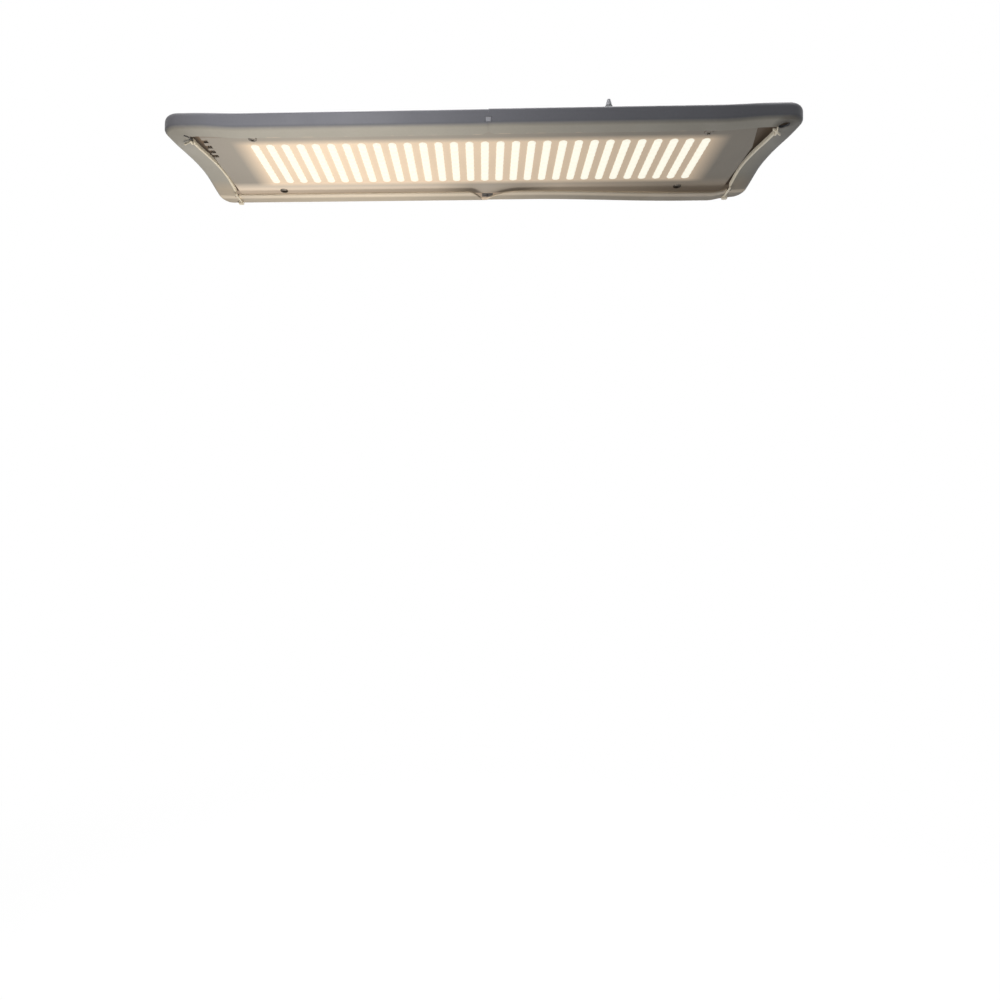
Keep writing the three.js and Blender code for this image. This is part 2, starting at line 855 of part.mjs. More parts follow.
// A path of straight runs with rounded bends, in the plane of the bail.
function bentPath(points, radius) {
  const path = new THREE.CurvePath();
  let from = points[0];
  for (let i = 1; i < points.length - 1; i += 1) {
    const corner = points[i];
    const back = corner.clone().sub(points[i - 1]);
    const ahead = points[i + 1].clone().sub(corner);
    const trim = Math.min(radius, back.length() / 2, ahead.length() / 2);
    const enter = corner.clone().addScaledVector(back.normalize(), -trim);
    const leave = corner.clone().addScaledVector(ahead.normalize(), trim);
    path.add(new THREE.LineCurve3(from, enter));
    path.add(new THREE.QuadraticBezierCurve3(enter, corner, leave));
    from = leave;
  }
  path.add(new THREE.LineCurve3(from, points[points.length - 1]));
  return path;
}

function wire(path, diameter, steps, count) {
  const circle = new THREE.Shape().absarc(0, 0, diameter / 2, 0, Math.PI * 2);
  return new THREE.ExtrudeGeometry(circle, { steps, curveSegments: count / 2, extrudePath: path });
}

const bailDrop = Math.asin((pivotHeight - bailWire / 2 - bailRestGap) / (bailReach + bailHookDepth));

// The bail about its own pivot, reaching along +X: down each leg, across, and a hook bend in the middle.
function bail() {
  const endY = earSpan / 2 + earSheet + bailEndPast;
  const legY = bailSpan / 2;
  const topY = bailTopSpan / 2;
  const hookY = bailHookWidth / 2;
  const half = [
    [0, endY],
    [0, legY],
    [bailReach, topY],
    [bailReach, hookY],
    [bailReach + bailHookDepth, hookY / 3],
  ];
  const mirrored = half.map(([x, y]) => [x, -y]).reverse();
  const points = [...half, ...mirrored].map(([x, y]) => new THREE.Vector3(x, y, 0));
  return wire(bentPath(points, bailBend / 2), bailWire, bailSteps, bailSides);
}

// Driver
const driverSeat = topLevel("right");

function driverCase() {
  const inner = (size) => size - 2 * driverWall;
  const shellTop = driverSeat + driverHeight;
  const place = [driverX, driverY, 0];
  const outer = plate(roundedOutline(driverLength, driverWidth, driverCorner), driverSeat, shellTop);
  const cavity = plate(
    roundedOutline(inner(driverLength), inner(driverWidth), driverCorner - driverWall),
    driverSeat + driverFloor,
    shellTop + cutPast,
  );
  let body = cut(outer, cavity);
  for (const end of [-1, 1]) {
    const near = end * (driverLength / 2 - driverWall / 2);
    const far = end * (driverLength / 2 + earLength);
    const ear = block(
      Math.min(near, far),
      Math.max(near, far),
      -earWidth / 2,
      earWidth / 2,
      driverSeat,
      driverSeat + earThickness,
    );
    body = body.add(ear);
    for (const row of [-1, 1]) {
      const x = end * (inner(driverLength) / 2 - postSize / 2);
      const y = row * (inner(driverWidth) / 2 - postSize / 2);
      const floor = driverSeat + driverFloor;
      const foot = [x - postSize / 2 - fitPlay, x + postSize / 2, y - postSize / 2, y + postSize / 2];
      body = body.add(block(...foot, floor - driverFloor / 2, floor + postHeight));
    }
  }
  const bore = grommetBore + grommetWall + grommetWall + screwPlay;
  return cut(
    body.translate(place),
    post(bore, driverX, grommetY, driverSeat - cutPast, driverSeat + driverFloor + cutPast, roundSides),
    ...[-1, 1].map((end) =>
      post(
        screwShank + screwPlay,
        driverX + end * driverScrewOffset,
        driverY,
        driverSeat - cutPast,
        driverSeat + earThickness + cutPast,
      ),
    ),
  );
}

function driverCover() {
  const seat = driverSeat + driverHeight;
  const inner = (size) => size - 2 * (driverWall + fitPlay);
  const lid = plate(roundedOutline(driverLength, driverWidth, driverCorner), seat, seat + coverThickness);
  const radius = driverCorner - driverWall - fitPlay;
  const skirt = plate(roundedOutline(inner(driverLength), inner(driverWidth), radius), seat - coverLip, seat);
  return join(lid, skirt).translate([driverX, driverY, 0]);
}

const circuitZ = driverSeat + driverFloor + postHeight;

function driverCircuit() {
  const length = driverLength - 2 * (driverWall + circuitGap);
  const width = driverWidth - 2 * (driverWall + circuitGap);
  const top = circuitZ + circuitThickness;
  const room = driverSeat + driverHeight - coverLip - top - circuitGap;
  const box = (xShare, yShare, lengthShare, widthShare, heightShare) => {
    const x = xShare * length;
    const y = yShare * width;
    const halfX = (lengthShare * length) / 2;
    const halfY = (widthShare * width) / 2;
    return block(x - halfX, x + halfX, y - halfY, y + halfY, circuitZ, top + heightShare * room);
  };
  const can = (xShare, yShare, diameterShare, heightShare) =>
    post(diameterShare * width, xShare * length, yShare * width, circuitZ, top + heightShare * room);
  return join(
    block(-length / 2, length / 2, -width / 2, width / 2, circuitZ, top),
    ...circuitBoxShares.map((shares) => box(...shares)),
    ...circuitCanShares.map((shares) => can(...shares)),
  ).translate([driverX, driverY, 0]);
}

function driverScrew(end) {
  const x = driverX + end * driverScrewOffset;
  const seat = driverSeat + earThickness;
  return join(
    turned(
      [
        [0, 0],
        [screwHead / 2, 0],
        [screwHead / 2, screwHeadHeight],
        [screwHead / 3, screwHeadHeight + screwHeadHeight / 2],
        [0, screwHeadHeight + screwHeadHeight / 2],
      ],
      x,
      driverY,
      seat,
      smallSides,
    ),
    post(screwShank, x, driverY, driverSeat - sheet - rivetTailHeight, seat + screwHeadHeight / 2),
  );
}

// Inlet
const hexStretch = 1 / Math.cos(Math.PI / hexSides);

function gland() {
  const bore = glandBore / 2;
  const shoulder = glandFlangeHeight + glandDomeHeight * glandShoulderShare;
  const top = glandFlangeHeight + glandDomeHeight;
  const low = -sheet - nutThickness;
  const body = turned(
    [
      [bore, low],
      [glandShank / 2, low],
      [glandShank / 2, 0],
      [glandDomeBase / 2, 0],
      [glandDomeBase / 2, shoulder],
      [glandDomeTop / 2, top],
      [bore, top],
      [bore, low],
    ],
    glandX,
    glandY,
    driverSeat,
  );
  const hex = turned(
    [
      [bore, 0],
      [(glandFlat / 2) * hexStretch, 0],
      [(glandFlat / 2) * hexStretch, glandFlangeHeight],
      [bore, glandFlangeHeight],
      [bore, 0],
    ],
    glandX,
    glandY,
    driverSeat,
    hexSides,
  );
  return body.add(hex);
}

function glandNut() {
  const bore = (glandShank / 2 + fitPlay / 2) * hexStretch;
  const corner = (nutFlat / 2) * hexStretch;
  return turned(
    [
      [bore, 0],
      [corner, 0],
      [corner, nutThickness],
      [bore, nutThickness],
      [bore, 0],
    ],
    glandX,
    glandY,
    driverSeat - sheet - nutThickness,
    hexSides,
  );
}

function sleeve() {
  const bore = sleeveBore / 2;
  const seat = glandFlangeHeight + glandDomeHeight;
  return turned(
    [
      [bore, seat - sleeveSeat],
      [glandBore / 2 - fitPlay / 2, seat - sleeveSeat],
      [glandBore / 2 - fitPlay / 2, seat],
      [sleeveBase / 2, seat],
      [sleeveTip / 2, seat + sleeveLength],
      [bore, seat + sleeveLength],
      [bore, seat - sleeveSeat],
    ],
    glandX,
    glandY,
    driverSeat,
    smallSides,
  );
}

function grommet() {
  const bore = grommetBore / 2;
  const wall = bore + grommetWall;
  const low = driverSeat - sheet;
  const ledge = driverSeat + driverFloor;
  return turned(
    [
      [bore, low],
      [wall, low],
      [wall, ledge],
      [grommetFlange / 2, ledge],
      [grommetFlange / 2, ledge + grommetFlangeHeight],
      [bore, ledge + grommetFlangeHeight],
      [bore, low],
    ],
    driverX,
    grommetY,
    0,
  );
}

// Leads: a run in the gap over the heat spreader, then up through the grommet to the circuit.
const leadZ = (spreaderTop + driverSeat - sheet) / 2;
const leadTop = circuitZ - fitPlay;

function lead(start, side) {
  const x = driverX + (side * leadSpacing) / 2;
  const bend = leadTop - leadZ;
  const riseX = start[start.length - 1].x;
  const points = [
    ...start,
    new THREE.Vector3(riseX, bayEdgeY - 2 * leadDiameter, leadZ),
    new THREE.Vector3(riseX, bayEdgeY, leadZ),
    new THREE.Vector3(x, grommetY - bend, leadZ),
    new THREE.Vector3(x, grommetY, leadZ),
    new THREE.Vector3(x, grommetY, leadTop),
  ];
  return wire(bentPath(points, grommetBore / 2), leadDiameter, leadSteps, leadSides);
}

function inputLead() {
  const bayZ = padZ + fitPlay + leadDiameter / 2;
  return lead(
    [
      new THREE.Vector3(glandX, glandY, driverSeat - sheet),
      new THREE.Vector3(glandX, glandY, bayZ),
      new THREE.Vector3(glandX, glandY + (nutFlat / 2) * hexStretch + leadDiameter, bayZ),
    ],
    -1,
  );
}

function outputLead() {
  const z = padZ + connectorHeight / 2;
  const rear = connectorY + connectorWidth / 2 + fitPlay;
  return lead(
    [
      new THREE.Vector3(connectorX, rear, z),
      new THREE.Vector3(connectorX, rear + leadDiameter, z),
    ],
    1,
  );
}

function connector() {
  const x = connectorLength / 2;
  const y = connectorWidth / 2;
  const z = padZ + connectorHeight;
  const wall = connectorHeight / 4;
  const body = block(connectorX - x, connectorX + x, connectorY - y, connectorY + y, padZ, z);
  const latchY = [connectorY - y - wall, connectorY];
  const latch = block(connectorX - x / 2, connectorX + x / 2, ...latchY, padZ, z - wall);
  return body.add(latch);
}

// Assembly
const lamp = new THREE.Group();

function add(name, geometry, look, parent = lamp) {
  const [color, roughness, metalness] = finish[look];
  const mesh = new THREE.Mesh(geometry, new THREE.MeshStandardMaterial({ color, roughness, metalness }));
  mesh.name = name;
  parent.add(mesh);
  return mesh;
}

for (const half of Object.keys(sides)) {
  add("tray_" + half, geometryOf(trayHalf(half)), "tray");
  add("end_edging_" + half, geometryOf(edging(half)), "edging");
  add("bail_bracket_" + half, geometryOf(bracket(half)), "steel");
  const pivot = new THREE.Group();
  pivot.position.set(sides[half] * bailX, 0, topLevel(half) + pivotHeight);
  pivot.rotation.set(0, bailDrop, half === "left" ? 0 : Math.PI, "ZYX");
  lamp.add(pivot);
  add("bail_" + half, bail(), "steel", pivot);
}

add("seam_strap", geometryOf(seamStrap()), "tray");
add("seam_clip_front", geometryOf(seamClip(-1)), "clip");
add("seam_clip_rear", geometryOf(seamClip(1)), "clip");
add("led_board", geometryOf(board()), "board");
add("thermal_pad", geometryOf(layer(padLength, padWidth, padZ, spreaderZ)), "pad");
add("heat_spreader", geometryOf(layer(spreaderLength, spreaderWidth, spreaderZ, spreaderTop)), "aluminium");

for (let i = 0; i < rowCount; i += 1) {
  const row = add("led_row_" + String(i + 1).padStart(2, "0"), ledRow(), "led");
  row.position.set(rowsShiftX + (i - (rowCount - 1) / 2) * rowPitch, rowsShiftY, boardZ);
}

for (const [place, half, x, y] of boardScrewPlaces) {
  add("board_screw_" + place, geometryOf(boardScrew(half, x, y)), "steel");
}

add("driver_case", geometryOf(driverCase()), "driver");
add("driver_cover", geometryOf(driverCover()), "driver");
add("driver_circuit", geometryOf(driverCircuit()), "circuit");
add("driver_screw_left", geometryOf(driverScrew(-1)), "steel");
add("driver_screw_right", geometryOf(driverScrew(1)), "steel");
add("driver_grommet", geometryOf(grommet()), "rubber");
add("cable_gland", geometryOf(gland()), "nylon");
add("cable_gland_nut", geometryOf(glandNut()), "nylon");
add("cord_sleeve", geometryOf(sleeve()), "sleeve");
add("input_lead", inputLead(), "rubber");
add("output_lead", outputLead(), "rubber");
add("board_connector", geometryOf(connector()), "connector");

export default lamp;
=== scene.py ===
from math import asin, cos, pi, radians, sin, sqrt

import bmesh
import bpy
from mathutils import Matrix, Vector


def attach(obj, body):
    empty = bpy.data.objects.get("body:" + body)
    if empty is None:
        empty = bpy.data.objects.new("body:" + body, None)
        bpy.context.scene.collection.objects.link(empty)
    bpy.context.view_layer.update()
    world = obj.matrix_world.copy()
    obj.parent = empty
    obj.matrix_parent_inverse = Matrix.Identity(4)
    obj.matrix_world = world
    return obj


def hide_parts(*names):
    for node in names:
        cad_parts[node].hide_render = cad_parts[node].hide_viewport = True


# LED grow light panel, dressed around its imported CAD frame.
# Shapes are drawn in millimetres in the part's frame, and become metres as each mesh is made.

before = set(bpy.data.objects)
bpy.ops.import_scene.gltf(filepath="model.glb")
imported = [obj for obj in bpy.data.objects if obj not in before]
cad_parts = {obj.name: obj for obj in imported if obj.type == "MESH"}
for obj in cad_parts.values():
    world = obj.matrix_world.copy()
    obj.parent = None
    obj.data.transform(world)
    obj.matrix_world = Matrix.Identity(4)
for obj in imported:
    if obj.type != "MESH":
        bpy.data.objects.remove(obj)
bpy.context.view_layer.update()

MM = 0.001
# Points closer than this, in metres, become one
WELD = 0.000002

# Steps along short, usual and long curves
SHORT_STEPS = 3
ARC_STEPS = 8
LONG_STEPS = 12

# Camera, at the photograph's viewing angle
IMAGE_SIDE = 1000
LENS_PIXELS = 680
SENSOR = 36
CAMERA_PLACE = (0.006380, -0.454948, -0.231692)
CAMERA_YAW = -0.046988
CAMERA_PITCH = -0.019769
CAMERA_ROLL = 0.010914
CAMERA_SHIFT_X = 0.04839
CLIP_START = 0.01

# Stage
FLOOR_Z = -0.9
FLOOR_HALF = 6
FLOOR_COLOUR = (0.72, 0.72, 0.715)
FLOOR_GLOW = 0.72
FADE_NEAR = 0.35
FADE_FAR = 1.5
WORLD_COLOUR = (0.97, 0.98, 1.0)
WORLD_LEVEL = 0.06
# Place, target, size, power and colour of each lamp
LAMPS = {
    "front_lamp": ((-0.124, -0.250, 0.080), (-0.105, -0.05, 0.008), (0.11, 0.08), 0.37, (1.0, 0.985, 1.0)),
    "low_lamp": ((-0.098, -0.02, -0.17), (-0.098, 0.0, 0.0), (0.12, 0.10), 0.29, (1.0, 0.95, 0.88)),
    "top_lamp": ((0.1, 0.2, 1.2), (0, 0, 0), (1.2, 1.0), 11, (1.0, 1.0, 1.0)),
    "rear_lamp": ((0.4, 1.3, 0.7), (0, 0, 0), (1.0, 0.8), 11, (1.0, 1.0, 1.0)),
}

# Tray
HALF_LENGTH = 196
HALF_WIDTH = 50
TRAY_HEIGHT = 10.5
FOOT_HEIGHT = 2.5
SHEET = 1.5
CORNER_RADIUS = 11
OPENING_RADIUS = 2
TOP_RADIUS = 2
TOP_CORNER_RADIUS = 4
LOW_RADIUS = 2.6
FRONT_LIP = 11
REAR_LIP = 13.5
END_LIP = {"left": 18, "right": 16.7}
END_ARCH = 3.2
END_TAPER = 2.8
TAPER_START = 30
TAPER_RUN = 50
LIP_FLARE = 4
END_RISE = 1.6
RISE_START = 145
RISE_RUN = 31
RISE_END_Y = 15
RISE_FADE = 28
FLANGE = 12
HEM = 0.14
HEM_CLEAR = 0.05
RELIEF = (6, 1.6)
OVAL = (6.5, 5)
OVAL_INSET_X = 11
OVAL_INSET_Y = 8.6
SEAM_X = 7
SEAM_GAP = 0.02
SEAM_STEP = 0.3
SIDES = {"left": -1, "right": 1}
LOWER_BY = {"left": SEAM_STEP, "right": 0}
NOTCH_DEPTH = 10.5
# Gap, run and curve of the rear lip's cut corner on each half
REAR_NOTCH = {"left": (4, 9, 1.6), "right": (0, 25, 2.4)}
# The rear lip hangs lower towards its right end: depth, where it starts, its run, where it ends
SAG_DEPTH = 2.4
SAG_START = 40
SAG_RUN = 108
SAG_END = 168
SAG_BACK = 15
FRONT_NOTCH_RUN = 4
FRONT_NOTCH = 3
CORNER_STEPS = 16
END_STEPS = 32
NOTCH_STEPS = 18
CUT_PAST = 1
TRAY_SHARP = 32

# Boxes: each SOFT is the rounding along the top and bottom edges, and that of the upright corners
BOX_SOFT = (0.15, 0.3)
FINE_SOFT = (0.1, 0.1)
BOX_EDGE_STEPS = 2
LEAST_RADIUS = 0.01
PIECE_SHARP = 38
HEAD_SIDES = 32

# Edging
EDGING_Y = 33
EDGING_WEB = 0.6
EDGING_LEG = 0.5
EDGING_GRIP = 0.7
PLAY = 0.1
FOOT_WIDTH = 3.2
FOOT_REACH = 3
REAR_FOOT_Y = 47.5
FRONT_TAIL_Y = -36
TAIL_WIDTH = 1.3
TAIL_HEIGHT = 1.2
TAIL_SOFT = (0.4, 0.5)
NECK_LENGTH = 1
NECK_SINK = 0.6
FRONT_NECK_RISE = 0.9
REAR_NECK_RISE = 0.1
FOOT_LAP = 0.2
FOOT_SOFT = (0.5, 1.0)
CHANNEL_ROUND = 0.5
CHANNEL_STEPS = 5
PRONG_LENGTH = 7.5
PRONG_WIDTH = 0.9
PRONG_SOFT = (0.35, 0.44)
EDGING_SHARP = 40
# Degrees from straight ahead, turned towards the board, and length share of each prong
PRONGS = {"left": [(-118, 0.85)], "right": [(18, 0.75), (46, 0.7), (-133, 0.6)]}

# Seam clips, strap and rivets
CLIP_WIDTH = 3.4
CLIP_HEIGHT = 3
CLIP_PLATE = 0.7
CLIP_NECK = 2
CLIP_BACK = 8
CLIP_BACK_PLATE = 0.8
CLIP_NECK_INSET = 0.3
CLIP_SOFT = (0.3, 0.3)
CLIP_BACK_SOFT = (0.2, 0.3)
CLIP_Z = 4.3
STRAP_LENGTH = 24
STRAP_WIDTH = 86
STRAP_SHEET = 1.2
STRAP_CORNER = 3
STRAP_STEPS = 6
STRAP_EDGE = 0.3
STEP_LAP = 0.4
STEP_SOFT = (0.1, 2.5)
STRAP_RIVET_X = 7
STRAP_RIVET_Y = 30
RIVET_HEAD = 6
RIVET_HEIGHT = 0.8
RIVET_EDGE = 0.2

# LED rows and board
ROW_COUNT = 30
ROW_PITCH = 10
ROW_WIDTH = 5.2
HALF_ROW = 25.28
LEDS_PER_ROW = 10
LED_PITCH = 5.1111
LED_HEIGHT = 0.8
LED_NECK = 0.6
LENS_SIDES = 12
# A row's width between two packages, its least width and height at the ends, and how square a package is
WAIST_SHARE = 0.93
LEAST_WIDTH = 0.02
END_HEIGHT = 0.35
LENS_POWER = 0.45
END_ROUND = 1.2
END_SHARES = (0.004, 0.012, 0.025)
LENS_SHARP = 60
ROWS_X = 0
ROWS_Y = 0.9
BOARD_Z = 6.3
SCREW_X = 143.5
SCREW_FRONT_Y = -31.5
SCREW_REAR_Y = 38
SCREW_HEAD = 5.6
SCREW_HEIGHT = 1.1
HEAD_EDGE = 0.25
RECESS_ARM = 0.52
RECESS_SLOT = 0.13
RECESS_DEPTH = 0.7
RECESS_SOFT = (0.03, 0.05)
QUARTER_TURN = 90

# Bails and brackets
BAIL_X = 168
BAIL_WIRE = 3.2
BAIL_END_Y = 32.2
BAIL_LEG_Y = 26
BAIL_TOP_Y = 20
BAIL_REACH = 42
BAIL_BEND = 3.5
BEND_STEPS = 7
WIRE_SIDES = 24
WIRE_SHARP = 50
LEAST_STEP = 0.05
CAP_STEPS = 4
CAP_SHARE = 0.35
HOOK_WIDTH = 12
HOOK_DEPTH = 5
BRACKET_WIDTH = 9
BRACKET_SHEET = 1.5
EAR_Y = 29
EAR_SHEET = 2
EAR_EDGE = 0.25
EAR_SINK = 0.2
EAR_STEPS = 24
BRACKET_SOFT = (0.25, 0.5)
PIVOT_HEIGHT = 4.8
PIVOT_PLAY = 0.3
BRACKET_RIVET_Y = 20
BAIL_REST_GAP = 0.3

# Driver, the tabs that hold it down, and inlet
DRIVER_X = 69
DRIVER_Y = 10
DRIVER_LENGTH = 80
DRIVER_WIDTH = 44
DRIVER_HEIGHT = 14
DRIVER_CORNER = 4
COVER = 2
TAB_REACH = 8
TAB_WIDTH = 14
TAB_SHEET = 2.5
TAB_SCREW_X = 44
TAB_SCREW_TURN = 20
TAB_SCREW_HEIGHT = 1.65
DRIVER_EDGE = 0.5
DRIVER_EDGE_STEPS = 4
TAB_LAP = 1
TAB_SOFT = (0.4, 3)
PARTING_GAP = 0.25
COVER_EDGE = 0.9
COVER_EDGE_STEPS = 6
RIM_INSET = 2
RIM_CORNER = 2.5
RIM_DEPTH = 1.5
RIM_LAP = 0.5
PANEL_INSET = 6
PANEL_CORNER = 3
PANEL_DEPTH = 0.3
GROOVE_COUNT = 9
GROOVE_PITCH = 7.5
GROOVE_WIDTH = 2
GROOVE_DEPTH = 0.6
GROOVE_FOOT = 3.5
GROOVE_HEAD = 3
GROOVE_SOFT = (0.2, 0.3)
GLAND_X = 80.8
GLAND_Y = -38
GLAND_FLAT = 10
GLAND_FLANGE = 3
GLAND_DOME = 3.4
GLAND_BASE = 8.4
GLAND_TOP = 4.6
GLAND_SOFT = 0.8
GLAND_CORNER_STEPS = 4
GLAND_EDGE = 0.3
GLAND_LAP = 0.2
GLAND_STEPS = 14
GLAND_SIDES = 72
GLAND_SHOULDER = 0.1
GLAND_SHARP = 45
FLUTES = 12
FLUTE_DEPTH = 0.16
# Where the flutes start, and where they end, as shares of the dome's height: from and run
FLUTE_START = 0.15
FLUTE_END = 0.85
FLUTE_FADE = 0.2
SLEEVE_BASE = 4
SLEEVE_TIP = 2
SLEEVE_BORE = 1.4
SLEEVE_LENGTH = 4.4
SLEEVE_SINK = 0.5
SLEEVE_RINGS = 5
RING_TOP = 0.72
SLEEVE_GROOVE = 0.14
RING_RISE = 0.05
TIP_EDGE = 0.1
TIP_ROUND = 0.25
SLEEVE_SIDES = 40
SLEEVE_SHARP = 30

# Tones as screen values, 0 to 255
# The tray's coat: the walls darker as painted shade, the underside paler as painted light from below
SHADED_WALL_TONE = (124, 125, 131)
LIT_UNDER_TONE = (172, 168, 158)
# Painted light on the rear lip's underside, dimmer towards its right end as painted shade
LIT_REAR_TONE = (188, 176, 158)
DIMMER_REAR_RIGHT_TONE = (172, 162, 147)
# Painted highlight on lit edges
LIT_TONE = (206, 192, 172)
# Painted highlight along the rear lip's line
LIT_LINE_TONE = (234, 220, 199)
# Painted shade at the corners and in a spot by the right front corner
SHADE_TONE = (74, 68, 60)
# Painted shade inside the tray, under its top
SHADED_INSIDE_TONE = (110, 93, 76)
BOARD_TONE = (168, 161, 151)
# Painted LED glow over the field of rows
FIELD_GLOW_TONE = (212, 192, 168)
# Painted shade along the board's front edge
BOARD_SHADE_TONE = (122, 104, 90)
LENS_TONE = (98, 95, 86)
BLACK = (0, 0, 0, 1)
WHITE = (1, 1, 1, 1)
INSIDE_LIGHT = (1.0, 0.80, 0.62, 1)
BOARD_LIGHT = (1.0, 0.80, 0.60, 1)
EDGING_LIGHT = (1.0, 0.93, 0.80, 1)
LENS_LIGHT = (1.0, 0.97, 0.83, 1)
LENS_LEVEL = 0.9
LENS_PATCHES = 0.06
FIELD_SPILL = 0.22

# Noise values that soft patches and fine grain run between, and how both are laid over a tone
PATCH_RANGE = (0.3, 0.7)
GRAIN_RANGE = (0.25, 0.75)
GRAIN_SHADE = 0.55
COAT_GRAIN = 520
COAT_PATCHES = 14
WALL_PATCHES = 11
COAT_DEPTH = 0.05
DEEP_COAT = 0.06
BOARD_GRAIN = 800
SMOOTHER = 0.06
ROUGHER = 0.08

# Where tones change, in metres in the part's frame: from, to and, where they aren't 0 and 1, the shares there
REAR_Y = (0.02, 0.03)
# Painted shade: where the rear lip's lit underside dims towards the right
REAR_RIGHT_X = (0.02, 0.08)
# Painted shade: the coat turns to the shaded wall tone towards the right end
RIGHT_END_SHADE_X = (0.184, 0.206)
STREAK_X = (0.150, 0.140)
STREAK_STRETCH = (90, 4, 4)
STREAK_RANGE = (0.52, 0.62, 0, 0.7)
CEILING_Z = (0.0085, 0.0095)
CEILING_LIGHT_X = (-0.15, 0.15, 0.055, 0.02)
EDGING_LIGHT_X = (-0.1, 0.1, 0.03, 0.14)
FIELD_X = (0.160, 0.148)
# The same for areas with more than one such change, each with its axis
LEFT_SHADE = (("X", -0.164, -0.186, 0, 0.3), ("Y", -0.020, -0.036))
RIGHT_SHADE = (("X", 0.177, 0.190, 0, 0.4), ("Y", -0.014, -0.030))
STREAK_AREA = (("Y", -0.0404, -0.0398), ("Y", -0.036, -0.038))
# Painted highlight line along the rear lip
LIT_LINE_AREA = (("Y", 0.0366, 0.0380), ("Y", 0.0425, 0.0400, 0, 0.95))
BACK_LIGHT = (("Y", 0.0445, 0.0465), ("X", 0.06, 0.15, 0.30, 0.06))
FIELD_AREA = (("Y", -0.0295, -0.0235), ("Y", 0.032, 0.027))
# Painted shade along the board's front edge, at the left
BOARD_EDGE_SHADE = (("Y", -0.0325, -0.0345), ("X", -0.142, -0.152, 0, 0.5))
SPILL_AREA = (("Y", 0.026, 0.035), ("X", -0.14, 0.14, 0.46, 0.08))
NOTCH_X = 0.014
NOTCH_SHADE = (0.018, 0.044, 0.35, 1)
# Painted shade in a spot on the lip at the right front corner: its middle, and the distances where it ends
# and is full
SHADOW_SPOT = (0.1845, -0.0435, 0.004)
SHADOW_SPOT_REACH = (0.0075, 0.001)
# Slopes, as parts of the surface normal, from which a face counts as turned down or forward
DOWNWARD = (-0.35, -0.95)
CEILING_DOWN = (-0.6, -0.9)
FORWARD = (-0.15, -0.6)


def lip_level(half):
    return FOOT_HEIGHT - LOWER_BY[half]


def top_level(half):
    return FOOT_HEIGHT + TRAY_HEIGHT - LOWER_BY[half]


# Camera and stage
def add_object(name, data):
    thing = bpy.data.objects.new(name, data)
    bpy.context.scene.collection.objects.link(thing)
    return thing


def make_camera():
    data = bpy.data.cameras.new("camera")
    data.sensor_width = SENSOR
    data.lens = LENS_PIXELS / IMAGE_SIDE * SENSOR
    data.shift_x = CAMERA_SHIFT_X
    data.clip_start = CLIP_START
    camera = add_object("camera", data)
    turn = Matrix.Rotation(-CAMERA_YAW, 4, "Z")
    turn = turn @ Matrix.Rotation(-CAMERA_PITCH, 4, "X")
    turn = turn @ Matrix.Rotation(-CAMERA_ROLL, 4, "Y")
    turn = turn @ Matrix.Rotation(pi / 2, 4, "X")
    camera.matrix_world = Matrix.Translation(CAMERA_PLACE) @ turn
    bpy.context.scene.camera = camera


def feed(tree, socket, value):
    """Link a value that comes out of a node, and set one that doesn't."""
    if isinstance(value, bpy.types.Node):
        value = value.outputs[0]
    if isinstance(value, bpy.types.NodeSocket):
        tree.links.new(value, socket)
    else:
        socket.default_value = value


def add_node(tree, kind, inputs, operation=None):
    node = tree.nodes.new("ShaderNode" + kind)
    if operation:
        node.operation = operation
    for key, value in inputs.items():
        feed(tree, node.inputs[key], value)
    return node


def seen_directly(tree):
    """1 for rays from the camera, and for rays that a mirror or glass sends on."""
    path = add_node(tree, "LightPath", {}).outputs
    first = add_node(tree, "Math", {0: path["Is Camera Ray"], 1: path["Is Glossy Ray"]}, "MAXIMUM")
    return add_node(tree, "Math", {0: first, 1: path["Is Transmission Ray"]}, "MAXIMUM")


def make_world():
    """Soft light for the part, and white where the camera looks past it."""
    world = bpy.data.worlds.new("studio")
    bpy.context.scene.world = world
    world.use_nodes = True
    tree = world.node_tree
    tree.nodes.clear()
    soft = add_node(tree, "Background", {"Color": (*WORLD_COLOUR, 1), "Strength": WORLD_LEVEL})
    white = add_node(tree, "Background", {"Color": WHITE, "Strength": 1})
    mix = add_node(tree, "MixShader", {0: seen_directly(tree), 1: soft, 2: white})
    add_node(tree, "OutputWorld", {"Surface": mix})


def floor_material():
    """Pale floor that glows only for direct rays, keeps the shadow, and fades to white far off."""
    material = bpy.data.materials.new("floor")
    material.use_nodes = True
    tree = material.node_tree
    tree.nodes.clear()
    seen = seen_directly(tree)
    diffuse = add_node(tree, "BsdfDiffuse", {"Color": (*FLOOR_COLOUR, 1)})
    level = add_node(tree, "Math", {0: seen, 1: FLOOR_GLOW}, "MULTIPLY")
    glow = add_node(tree, "Emission", {"Strength": level})
    near = add_node(tree, "AddShader", {0: diffuse, 1: glow})
    place = add_node(tree, "TexCoord", {}).outputs["Object"]
    length = add_node(tree, "VectorMath", {0: place}, "LENGTH").outputs["Value"]
    fade = add_node(tree, "MapRange", {"Value": length, "From Min": FADE_NEAR, "From Max": FADE_FAR})
    fade.interpolation_type = "SMOOTHSTEP"
    far = add_node(tree, "Math", {0: fade, 1: seen}, "MULTIPLY")
    mix = add_node(tree, "MixShader", {0: far, 1: near, 2: add_node(tree, "Emission", {})})
    add_node(tree, "OutputMaterial", {"Surface": mix})
    return material


def make_floor():
    mesh = bpy.data.meshes.new("floor")
    side = FLOOR_HALF
    corners = [(-side, -side, 0), (side, -side, 0), (side, side, 0), (-side, side, 0)]
    mesh.from_pydata(corners, [], [(0, 1, 2, 3)])
    mesh.materials.append(floor_material())
    floor = add_object("floor", mesh)
    floor.location = (0, 0, FLOOR_Z)


